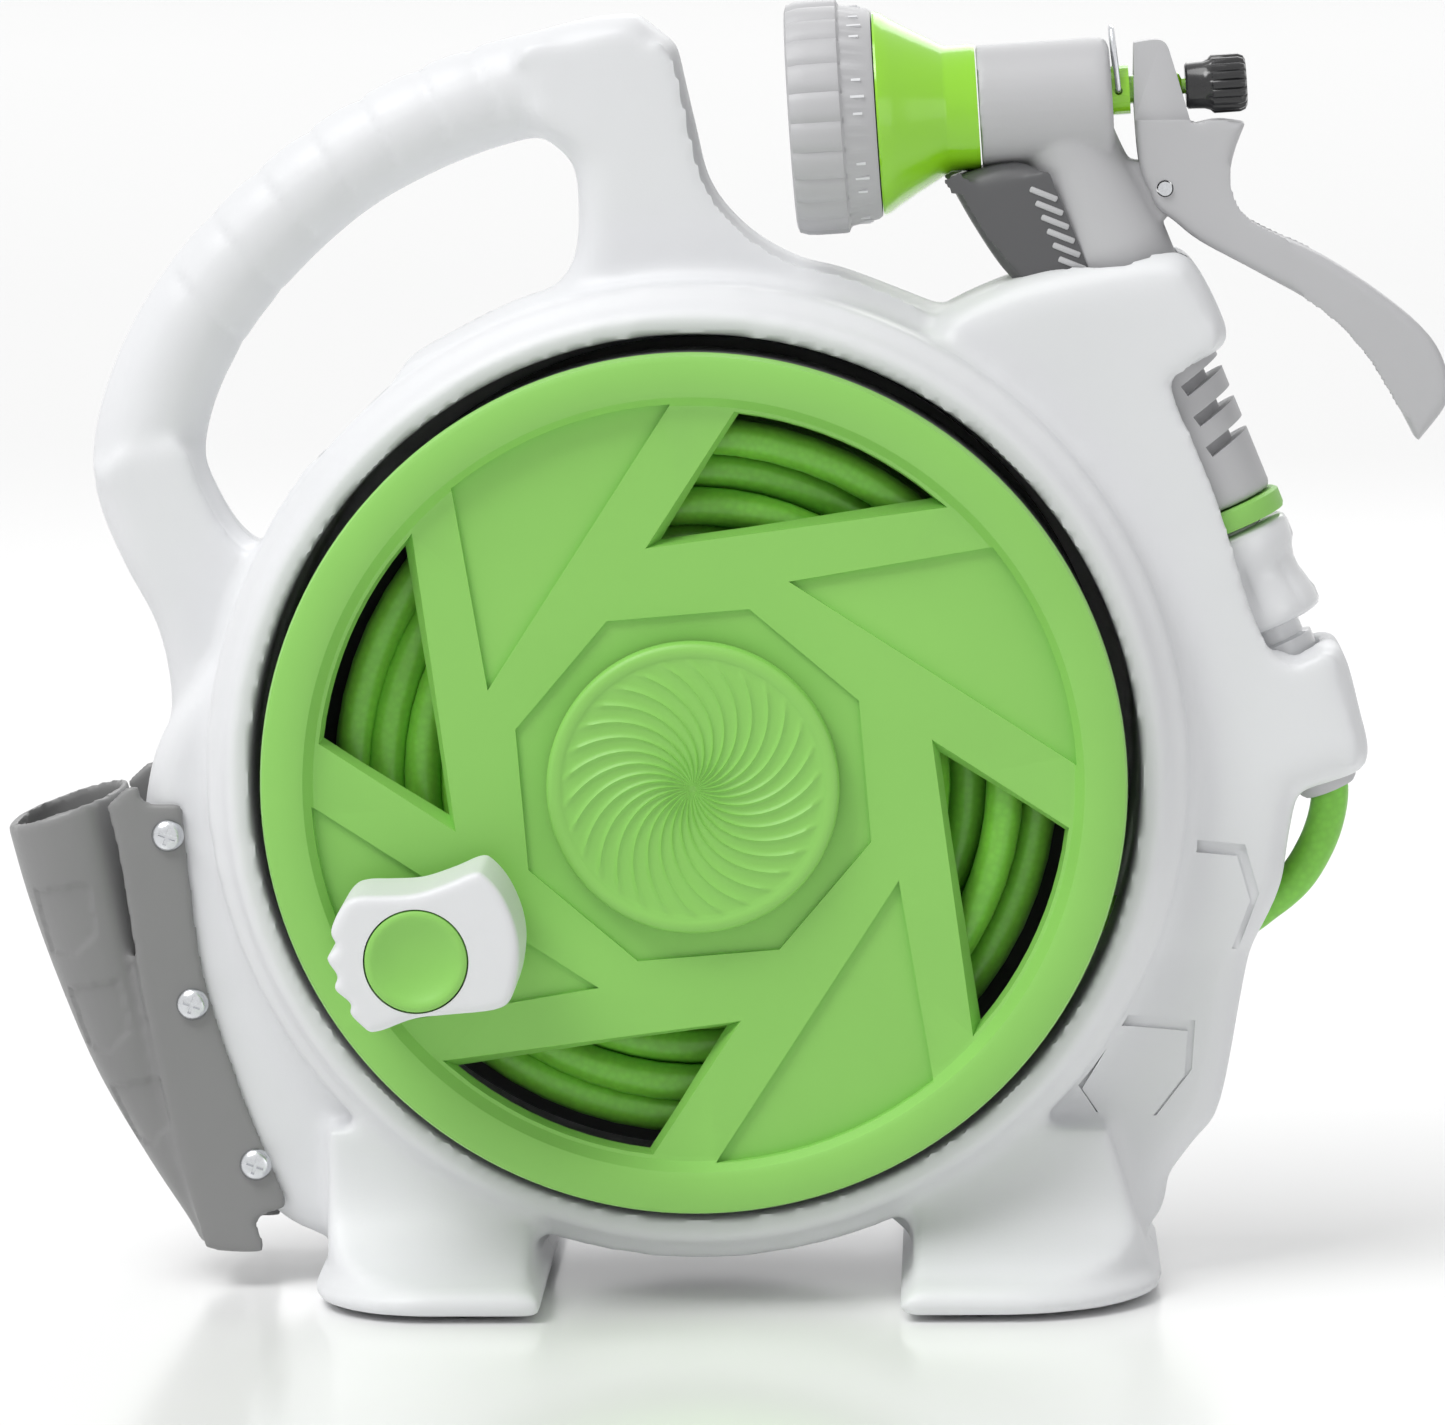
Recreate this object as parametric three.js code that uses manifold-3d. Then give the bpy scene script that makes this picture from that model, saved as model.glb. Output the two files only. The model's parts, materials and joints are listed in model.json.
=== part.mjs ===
// Portable garden hose reel: two white shells around a green drum, with a crank, a tool pouch at one side, and a
// spray gun that stands in a channel at the other. Millimetres, +Z up; the drum turns about Y and its face looks
// towards -Y. Every piece is placed from the drum's axis, and the whole is then lifted so that its feet stand on Z = 0.
import * as THREE from "three";
import { mergeVertices } from "three/addons/utils/BufferGeometryUtils.js";
import Module from "manifold-3d";

const wasm = await Module();
wasm.setup();

// ---- driving dimensions -------------------------------------------------------------------------------------------
const CLEAR = 0.35; // gap between pieces that touch
const WALL = 2.8; // moulded wall of the shells

const BAY_R = 123.5; // opening of the drum bay
const BAND = 7.5; // width of the raised band around it
const SHOULDER = 6; // step from the band out to the shoulder
const BAND_DEPTH = 46; // band's face from the parting plane
const SHOULDER_DEPTH = 38;
const UNDER = 16.5; // air under the band
const GRIP_DEPTH = 15; // half thickness of the carrying handle
const SIDE_DEPTH = 24; // half thickness beside the drum

const FOOT_DEPTH = 75; // reach of the feet from the parting plane
const FOOT_THICK = 10;
const PAD_THICK = 1.6; // rubber pad under each foot
const FLARE_TALL = 34; // height over which a leg spreads to its foot

const DISC_GAP = 4.1; // ring gap between the drum's face and the bay
const DISC_FRONT = 62; // face's rim in front of the parting plane
const RIM_WIDE = 12.4;
const RIM_STEP = 5; // face lies this far behind its rim
const FACE_THICK = 3.5;
const SKIRT_LONG = 26; // dark ring behind the rim
const CORE_R = 50; // barrel that the hose winds on
const FLANGE_Y = 30; // rear end of the wound hose
const FLANGE_THICK = 3;
const HUB_CAP_R = 40.3;
const CAP_PROUD = 1.5; // hub cap in front of the rim
const AXLE_R = 11; // fixed water axle
const AXLE_BORE = 6;
const BUSH_WALL = 2.5;

const HOSE_D = 10.5;
const COIL_R = 101; // outer radius of the wound hose

const CRANK_R = 85.2; // crank pin from the drum's axis
const CRANK_ANGLE = 209.5; // degrees, anticlockwise from +X seen from the front
const CRANK_PIN_R = 4;
const CRANK_TALL = 34.5;
const CRANK_CAP_R = 14;

const GUN_LEAN = 22; // degrees from vertical
const GUN_AT = [99.5, 184.5]; // crossing of the barrel and the handle
const HANDLE_R = 16.8;
const HANDLE_LONG = 123.5; // from the barrel's axis to the collar
const COLLAR_R = 18.4;
const COLLAR_LONG = 6;
const NIPPLE_R = 6;
const NIPPLE_LONG = 19;
const CONNECTOR_R = 17.6;
const CONNECTOR_LONG = 34;
const SPIGOT_R = 12; // connector's lower part, held in the shells
const SPIGOT_LONG = 28;
const NUT_R = 8.8;
const NUT_LONG = 16.5;
const CHANNEL_GAP = 1.2;

const BARREL_R = 17.2;
const BARREL_REAR = 17.4;
const BARREL_FRONT = 19.7;
const CONE_R = 28.5;
const DIAL_R = 32.8;
const STEM_R = 4;
const STEM_RISE = 2; // stem's axis above the barrel's
const TRIGGER_HALF = 8.5;
const PIN_R = 2;
const WIRE_R = 0.8;
const HINGE_BACK = 19.2; // wire loop's pivot behind the handle's crossing
const HINGE_RISE = 1.2;

const SCREW_R = 1.6; // shell and pouch screws
const HEAD_R = 4.6;
const HEAD_TALL = 2.6;
const POST_R = 5;
const POUCH_WALL = 2.4;

const BAND_R = BAY_R + BAND;
const FLOOR = -(BAND_R + UNDER); // from the drum's axis
const DISC_R = BAY_R - DISC_GAP;
const deg = THREE.MathUtils.degToRad;

// ---- finishes -----------------------------------------------------------------------------------------------------
const paint = (color, roughness = 0.5, metalness = 0) =>
  new THREE.MeshStandardMaterial({ color, roughness, metalness });
const WHITE = paint(0xececec);
const GREEN = paint(0x8fce5e);
const GLOSS_GREEN = paint(0x8fd61f, 0.25);
const GREY = paint(0xbdbdbf);
const POUCH_GREY = paint(0x8b8b8b);
const DARK = paint(0x4a4a4c);
const BLACK = paint(0x1c1c1e, 0.3);
const STEEL = paint(0xd0d2d4, 0.2, 1);
const BRASS = paint(0xb89a56, 0.35, 1);
const RUBBER = paint(0x2a2a2b, 0.8);

// ---- solids -------------------------------------------------------------------------------------------------------
function solid(geometry) {
  const bare = geometry.index ? geometry.toNonIndexed() : geometry.clone();
  for (const key of Object.keys(bare.attributes)) if (key !== "position") bare.deleteAttribute(key);
  const merged = mergeVertices(bare, 1e-3);
  const build = (triVerts) =>
    new wasm.Manifold(
      new wasm.Mesh({ numProp: 3, vertProperties: merged.attributes.position.array, triVerts }),
    );
  const tri = new Uint32Array(merged.index.array);
  const made = build(tri);
  if (made.volume() > 0) return made;
  for (let i = 0; i < tri.length; i += 3) [tri[i + 1], tri[i + 2]] = [tri[i + 2], tri[i + 1]];
  return build(tri);
}

function geometryOf(made) {
  const m = made.getMesh();
  const geometry = new THREE.BufferGeometry();
  geometry.setAttribute("position", new THREE.BufferAttribute(new Float32Array(m.vertProperties), 3));
  geometry.setIndex(new THREE.BufferAttribute(new Uint32Array(m.triVerts), 1));
  geometry.computeVertexNormals();
  return geometry;
}

const reel = new THREE.Group();
function add(name, made, material, parent = reel) {
  const mesh = new THREE.Mesh(geometryOf(made), material);
  mesh.name = name;
  parent.add(mesh);
  return mesh;
}

const union = (...list) => list.reduce((a, b) => a.add(b));

// A cylinder along Y, centred on (x, z).
function rodY(r, y0, y1, x = 0, z = 0, segments = 32) {
  const g = new THREE.CylinderGeometry(r, r, y1 - y0, segments);
  g.translate(x, (y0 + y1) / 2, z);
  return solid(g);
}

// A solid turned about a line parallel to Y; profile holds [radius, y] pairs and closes on itself.
function turnY(profile, x = 0, z = 0, segments = 48) {
  const points = profile.map(([r, y]) => new THREE.Vector2(r, y));
  points.push(points[0].clone());
  const g = new THREE.LatheGeometry(points, segments);
  g.translate(x, 0, z);
  return solid(g);
}

// A solid turned about its own axis, which starts at a point and runs along a direction.
function turnAlong(profile, from, direction, segments = 24) {
  const points = profile.map(([r, y]) => new THREE.Vector2(r, y));
  points.push(points[0].clone());
  const g = new THREE.LatheGeometry(points, segments);
  const turn = new THREE.Quaternion().setFromUnitVectors(
    new THREE.Vector3(0, 1, 0),
    direction.clone().normalize(),
  );
  g.applyQuaternion(turn);
  g.translate(from.x, from.y, from.z);
  return solid(g);
}

// Points of an outline in the XZ plane, extruded from y0 to y1.
function slab(points, y0, y1) {
  const shape = new THREE.Shape(points);
  const g = new THREE.ExtrudeGeometry(shape, { depth: y1 - y0, bevelEnabled: false, curveSegments: 24 });
  g.rotateX(Math.PI / 2);
  g.translate(0, y1, 0);
  return solid(g);
}

// An outline in the YZ plane extruded from x0 to x1.
function slabX(points, x0, x1) {
  const g = new THREE.ExtrudeGeometry(new THREE.Shape(points), { depth: x1 - x0, bevelEnabled: false });
  g.applyMatrix4(new THREE.Matrix4().makeBasis(
    new THREE.Vector3(0, 1, 0), new THREE.Vector3(0, 0, 1), new THREE.Vector3(1, 0, 0)));
  g.translate(x0, 0, 0);
  return solid(g);
}

// An outline in the XY plane extruded from z0 to z1.
function slabZ(points, z0, z1) {
  const g = new THREE.ExtrudeGeometry(new THREE.Shape(points), { depth: z1 - z0, bevelEnabled: false });
  g.translate(0, 0, z0);
  return solid(g);
}

const v2 = (list) => list.map(([x, y]) => new THREE.Vector2(x, y));

// An outline moved inwards by d, or outwards where d is negative. Edges that would turn inside out close up.
function inset(points, d) {
  const turn = Math.sign(THREE.ShapeUtils.area(points));
  const from = points.map((p) => p.clone());
  const to = from.map((p, i) => {
    const a = p.clone().sub(from[(i + from.length - 1) % from.length]).normalize();
    const b = from[(i + 1) % from.length].clone().sub(p).normalize();
    const na = new THREE.Vector2(-a.y, a.x).multiplyScalar(turn);
    const nb = new THREE.Vector2(-b.y, b.x).multiplyScalar(turn);
    const n = na.clone().add(nb).normalize();
    return p.clone().addScaledVector(n, d / Math.max(0.5, n.dot(na)));
  });
  for (let i = 0; i < to.length;) {
    const j = (i + 1) % to.length;
    if (to[j].clone().sub(to[i]).dot(from[j].clone().sub(from[i])) > 0) {
      i += 1;
      continue;
    }
    to[i].lerp(to[j], 0.5);
    from[i].lerp(from[j], 0.5);
    to.splice(j, 1);
    from.splice(j, 1);
    i = Math.max(0, i - 2);
  }
  return to;
}

// A closed outline: each stretch is a smooth curve through its points, and stretches meet at corners.
function outline(...stretches) {
  const points = [];
  for (const stretch of stretches) {
    const list = v2(stretch);
    const curve = list.length > 2 ? new THREE.SplineCurve(list).getPoints(list.length) : list;
    for (const p of curve) {
      if (!points.length || points[points.length - 1].distanceTo(p) > 0.5) points.push(p);
    }
  }
  if (points[0].distanceTo(points[points.length - 1]) < 0.5) points.pop();
  return points;
}

// ---- the shells ---------------------------------------------------------------------------------------------------
// Outlines are drawn for this bay radius, and move out with the real one.
const DRAWN_BAY = 123.5;
const about = ([x, z]) => {
  const r = Math.hypot(x, z);
  const k = (r + BAY_R - DRAWN_BAY) / r;
  return [x * k, z * k];
};
const drawn = (...stretches) => outline(...stretches.map((stretch) => stretch.map(about)));
const FOOT_TOP = FLOOR + FOOT_THICK;

const CRADLE_TOP = [[69.5, 127.5], [81, 133], [96.5, 138], [130, 143.5], [140, 139], [148.5, 121.5], [146.5,
  116]];
const WINDOW_SIDE = [[146.5, 116], [136.5, 109.5], [134.5, 105], [146, 77], [159, 37], [167.5, 29.5]];
const CRADLE_FOOT = [[167.5, 29.5], [179.5, 33], [186, 12.5], [188, 2.5], [185, -3], [168, -8.5]];
const RIGHT_SIDE = [[168, -8.5], [165.5, -21.5], [163, -36], [155, -52.5], [146.5, -96], [139, -107.5], [131.5,
  -117.5]];
const FRAME = drawn(
  [[-16, 210.5], [-4.5, 201.5]],
  [[-4.5, 201.5], [-3, 194], [0.5, 178.5], [4.5, 163], [14.5, 150.5], [28.5, 142], [43, 138], [69.5, 127.5]],
  CRADLE_TOP, WINDOW_SIDE, CRADLE_FOOT, RIGHT_SIDE,
  [[131.5, -117.5], [130, -127], [124, -134.5]],
  [[124, -134.5], [58.5, -134.5]],
  [[58.5, -134.5], [47, -124]],
  [[47, -124], [0, -127], [-31, -124]],
  [[-31, -124], [-43.5, -134.5]],
  [[-43.5, -134.5], [-107, -134.5]],
  [[-107, -134.5], [-120, -128], [-134.5, -110], [-151, -66], [-156.5, -21.5], [-155, -1]],
  [[-155, -1], [-149.5, 15.5], [-152.5, 38], [-163, 60.5], [-171, 85], [-168, 106.5], [-143, 146.5],
   [-106.5, 180], [-52.5, 204], [-16, 210.5]],
);
const HAND_HOLE = drawn(
  [[-42, 176], [-35, 170.5], [-32.5, 160.5], [-33.5, 143.5], [-40, 134], [-52.5, 129.5], [-77, 117],
   [-96.5, 100], [-111.5, 81.5], [-120.5, 62.5], [-130, 66.5], [-138.5, 81.5], [-139.5, 96.5], [-130, 116],
   [-110, 141], [-89.5, 158.5], [-64.5, 170.5], [-42, 176]],
);
const CRADLE = drawn(CRADLE_TOP, WINDOW_SIDE, CRADLE_FOOT, RIGHT_SIDE.slice(0, 4),
  [[155, -52.5], [121, -52.5], [121, 34.5], [97.5, 88], [61.5, 115], [69.5, 127.5]]);
const SHOULDER_FOOT = -112; // the shoulder stops between the legs
const LOW_TOP = 40; // the thicker lower body ends here, above the drum's axis
const LEFT_LEG = v2([[-52, -106], [-108, -106], [-106, FOOT_TOP - 1], [-42, FOOT_TOP - 1], [-30, -126]]);
const RIGHT_LEG = v2([[64, -106], [112, -106], [124, FOOT_TOP - 1], [57, FOOT_TOP - 1], [46, -126]]);
const FEET = { left: { inner: -43, outer: -108.5, corner: 33 }, right: { inner: 56, outer: 129.7,
  corner: 44 } };

const gunAxis = new THREE.Vector3(Math.sin(deg(GUN_LEAN)), 0, -Math.cos(deg(GUN_LEAN)));
const gunPlace = about(GUN_AT);
const gunAt = (along) => new THREE.Vector3(gunPlace[0], 0, gunPlace[1]).addScaledVector(gunAxis, along);
const alongGun = (profile, segments = 24) => turnAlong(profile, gunAt(0), gunAxis, segments);
const tube = (r0, r1, from, to, segments) => alongGun([[r0, from], [r1, from], [r1, to], [r0, to]], segments);
const SLEEVE_FROM = HANDLE_LONG + COLLAR_LONG + CLEAR * 2;
const SPIGOT_FROM = SLEEVE_FROM + CONNECTOR_LONG + CLEAR;
const NUT_FROM = SPIGOT_FROM + SPIGOT_LONG + CLEAR;
const NUT_TO = NUT_FROM + NUT_LONG;

// A foot's plan: its outer corner is rounded, and it runs from the parting plane to reach (signed).
function footPlan({ inner, outer, corner }, reach, t = 0) {
  const out = Math.sign(outer - inner);
  const side = Math.sign(reach);
  const [a, b, far] = [inner + out * t, outer - out * t, reach - side * t];
  const points = [[a, -side * PAST], [a, far]];
  for (let k = 0; k <= 6; k += 1) {
    const turn = (k / 6) * (Math.PI / 2);
    points.push([b - out * corner * (1 - Math.sin(turn)), far - side * corner * (1 - Math.cos(turn))]);
  }
  points.push([b, -side * PAST]);
  return v2(points);
}

const CRADLE_DEPTH = COLLAR_R + CHANNEL_GAP + WALL + 0.6;
const PAST = 1; // masses and cuts run past the parting plane before it is cut flat
const half = (side, deep) => (side < 0 ? [-deep, PAST] : [-PAST, deep]);
const BIG = 260;
const block = (x0, x1, z0, z1, y0, y1) => slab(v2([[x0, z0], [x1, z0], [x1, z1], [x0, z1]]), y0, y1);

// The outside of one shell, with t taken off every face. side is -1 for the front and 1 for the rear.
function shellMass(side, t) {
  const handle = slab(inset(FRAME, t), ...half(side, GRIP_DEPTH - t))
    .subtract(slab(inset(HAND_HOLE, -t), -BIG, BIG));
  const low = slab(inset(FRAME, t), ...half(side, SIDE_DEPTH - t))
    .intersect(block(-BIG, BIG, -BIG, LOW_TOP - t, -BIG, BIG));
  const shoulder = rodY(BAND_R + SHOULDER - t, ...half(side, SHOULDER_DEPTH - t), 0, 0, 48)
    .intersect(block(-BIG, BIG, SHOULDER_FOOT + t, BIG, -BIG, BIG));
  const band = rodY(BAND_R - t, ...half(side, BAND_DEPTH - t), 0, 0, 48);
  const cradle = slab(inset(CRADLE, t), ...half(side, CRADLE_DEPTH - t));
  const spread = slabX(v2([
    [-side * PAST, FOOT_TOP - 1], [side * (FOOT_DEPTH - 9 - t), FOOT_TOP - 1],
      [side * (SHOULDER_DEPTH + 4 - t), FOOT_TOP + 12],
    [side * (SHOULDER_DEPTH - t), FOOT_TOP + FLARE_TALL - t], [side * (SHOULDER_DEPTH - t), 0], [-side * PAST,
      0]]), -BIG, BIG);
  const legs = [[LEFT_LEG, FEET.left], [RIGHT_LEG, FEET.right]].map(([leg, foot]) =>
    slab(inset(leg, t), ...half(side, FOOT_DEPTH)).intersect(spread)
      .intersect(slabZ(footPlan(foot, side * FOOT_DEPTH, t + 3.5), FLOOR, 0)));
  return union(handle, low, shoulder, band, cradle, ...legs);
}

// The room for the gun: a wide bore for its handle and the connector, then one for the spigot, then the nut's hole.
function channel(extra) {
  const wide = COLLAR_R + CHANNEL_GAP + extra;
  const narrow = SPIGOT_R + CLEAR * 2 + extra;
  const tight = NUT_R + CLEAR * 2 + extra;
  const [step, stop] = [SPIGOT_FROM - CLEAR + extra, NUT_FROM - CLEAR + extra];
  return alongGun([[0, 24], [wide, 24], [wide, step], [narrow, step], [narrow, stop], [tight, stop], [tight,
    NUT_TO + 12],
    [0, NUT_TO + 12]], 20);
}

// The shells are solid on the far side of the gun's axis.
function beyondGun() {
  const [top, foot] = [gunAt(0), gunAt(NUT_TO)];
  return slab(v2([[top.x, top.z], [foot.x, foot.z], [foot.x + 90, foot.z], [foot.x + 90, top.z]]), -BIG, BIG);
}

const SLOT = { x0: 96, x1: 192, z0: -84, z1: -20, half: 9 }; // hose exit between the shells
const POSTS = [
  { at: [-18.5, 189.5], deep: GRIP_DEPTH }, { at: [-143, 45], deep: GRIP_DEPTH }, { at: [81, 123],
    deep: CRADLE_DEPTH },
  { at: [-121, -94], deep: SIDE_DEPTH }, { at: [125, -98], deep: SIDE_DEPTH },
].map(({ at, deep }) => ({ at: about(at), deep }));

function shell(side) {
  let cavity = shellMass(side, WALL);
  cavity = cavity.subtract(rodY(BAY_R + WALL, -BIG, BIG, 0, 0, 48));
  cavity = cavity.subtract(channel(WALL)).subtract(beyondGun());
  let made = shellMass(side, 0).subtract(cavity);
  for (const { at, deep } of POSTS) made = made.add(rodY(POST_R, ...half(side, deep - 1), ...at, 12));
  for (const foot of Object.values(FEET)) {
    const plate = slabZ(footPlan(foot, side * FOOT_DEPTH), FLOOR + PAD_THICK, FOOT_TOP);
    const hollow = slabZ(footPlan(foot, side * FOOT_DEPTH, WALL), FLOOR, FOOT_TOP - WALL);
    made = made.add(plate.subtract(hollow));
  }
  const bay = side < 0 ? [-BIG, 1] : [-1, BAND_DEPTH - WALL];
  made = made.subtract(rodY(BAY_R, ...bay, 0, 0, 48));
  made = made.subtract(channel(0));
  made = made.subtract(block(SLOT.x0, SLOT.x1, SLOT.z0, SLOT.z1, ...half(side, SLOT.half)));
  made = made.subtract(block(-BIG, BIG, -BIG, BIG, ...(side < 0 ? [-CLEAR / 2, 9] : [-9, CLEAR / 2])));
  for (const { at, deep } of POSTS) {
    made = side < 0
      ? made.subtract(rodY(SCREW_R + CLEAR, -11, 1, ...at, 8))
      : made.subtract(rodY(SCREW_R + CLEAR * 2, -1, deep + 1, ...at, 8))
        .subtract(rodY(HEAD_R + CLEAR, deep - HEAD_TALL - 1, deep + 1, ...at, 12));
  }
  if (side < 0) {
    for (const at of POUCH_SCREWS) made = made.subtract(rodY(SCREW_R + CLEAR, -SIDE_DEPTH - 1,
      -SIDE_DEPTH + 12, ...at, 16));
  } else {
    const boss = rodY(AXLE_R + 6, BAND_DEPTH - 10, BAND_DEPTH - 1, 0, 0, 32);
    made = made.add(boss).subtract(rodY(AXLE_R + CLEAR, 0, BIG, 0, 0, 32));
  }
  return made;
}

// A pan-head screw along Y: its bearing face is at seat, its head towards side, its tip at tip.
function screwY([x, z], seat, tip, side) {
  const face = seat + side * HEAD_TALL;
  const head = turnY([[0, seat], [HEAD_R, seat], [HEAD_R, seat + side * 1.2], [HEAD_R - 1.6, face], [0, face]],
    x, z, 12);
  const shank = rodY(SCREW_R, Math.min(tip, seat + side), Math.max(tip, seat + side), x, z, 8);
  const cut = [Math.min(face - side * 1.2, face + side), Math.max(face - side * 1.2, face + side)];
  return head.add(shank)
    .subtract(block(x - 2.4, x + 2.4, z - 0.45, z + 0.45, ...cut))
    .subtract(block(x - 0.45, x + 0.45, z - 2.4, z + 2.4, ...cut));
}

// ---- the side pouch -----------------------------------------------------------------------------------------------
const POUCH_SCREWS = [[-149, -17.5], [-143, -65.5], [-126, -111.5]].map(about);
const POUCH_OUT = drawn(
  [[-167, -6], [-167, -11.5]],
  [[-167, -11.5], [-181, -18.5], [-197, -20.5]],
  [[-197, -20.5], [-186.5, -55], [-174.5, -85], [-160.5, -111.5], [-148, -131], [-141.5, -136.5]],
  [[-141.5, -136.5], [-123.5, -137.5]],
  [[-123.5, -137.5], [-127, -129.5], [-117.5, -123]],
  [[-117.5, -123], [-130, -91], [-140, -57.5], [-144, -24.5], [-145.5, -9]],
  [[-145.5, -9], [-156.5, -8], [-156.5, -4], [-162.5, -4], [-167, -6]],
);
const POCKET = drawn(
  [[-162.5, 34.5], [-205.5, 34.5], [-205.5, -20.5], [-193.5, -20.5]],
  [[-193.5, -20.5], [-183, -55], [-171, -83.5], [-157.5, -109.5], [-147, -126]],
  [[-147, -126], [-140.5, -124]],
  [[-140.5, -124], [-155.5, -70], [-161, -21.5], [-162.5, 34.5]],
);
{
  const deep = SIDE_DEPTH + CLEAR;
  let pouch = slab(POUCH_OUT, -deep - POUCH_WALL, deep + POUCH_WALL)
    .subtract(slab(inset(FRAME, -CLEAR), -deep, deep))
    .subtract(slab(POCKET, -deep, deep));
  for (const at of POUCH_SCREWS) pouch = pouch.subtract(rodY(SCREW_R + CLEAR, -BIG, 0, ...at, 16));
  add("tool_pouch", pouch, POUCH_GREY);
  POUCH_SCREWS.forEach((at, i) => {
    add(`pouch_screw_${i + 1}`, screwY(at, -deep - POUCH_WALL - CLEAR, -SIDE_DEPTH + 10, -1), STEEL);
  });
}

add("front_shell", shell(-1), WHITE);
add("rear_shell", shell(1), WHITE);
POSTS.forEach(({ at, deep }, i) => {
  add(`shell_screw_${i + 1}`, screwY(at, deep - HEAD_TALL - 1 + CLEAR, -9, 1), STEEL);
});
for (const [which, foot] of Object.entries(FEET)) {
  for (const [word, side] of [["front", -1], ["rear", 1]]) {
    const out = Math.sign(foot.outer - foot.inner);
    const [x, y] = [foot.inner + out * 22, side * (FOOT_DEPTH - 22)];
    const pad = new THREE.CylinderGeometry(12, 12, PAD_THICK - CLEAR, 16);
    pad.rotateX(Math.PI / 2);
    pad.translate(x, y, FLOOR + (PAD_THICK - CLEAR) / 2);
    const rise = FOOT_THICK - WALL - CLEAR;
    const stud = new THREE.CylinderGeometry(6, 6, rise, 12);
    stud.rotateX(Math.PI / 2);
    stud.translate(x, y, FLOOR + rise / 2);
    add(`foot_pad_${which}_${word}`, solid(pad).add(solid(stud)), RUBBER);
  }
}

// ---- the drum -----------------------------------------------------------------------------------------------------
const RIM_FRONT = -DISC_FRONT;
const FACE_FRONT = RIM_FRONT + RIM_STEP;
const FACE_BACK = FACE_FRONT + FACE_THICK;
const HUB_R = AXLE_R + BUSH_WALL + CLEAR * 2;
const BARB_Y = 8;
const RIM_IN = DISC_R - RIM_WIDE;
const WINDOW_OUT = RIM_IN - 3.5;
const WINDOW_TIP = CORE_R + 18.5;

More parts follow.
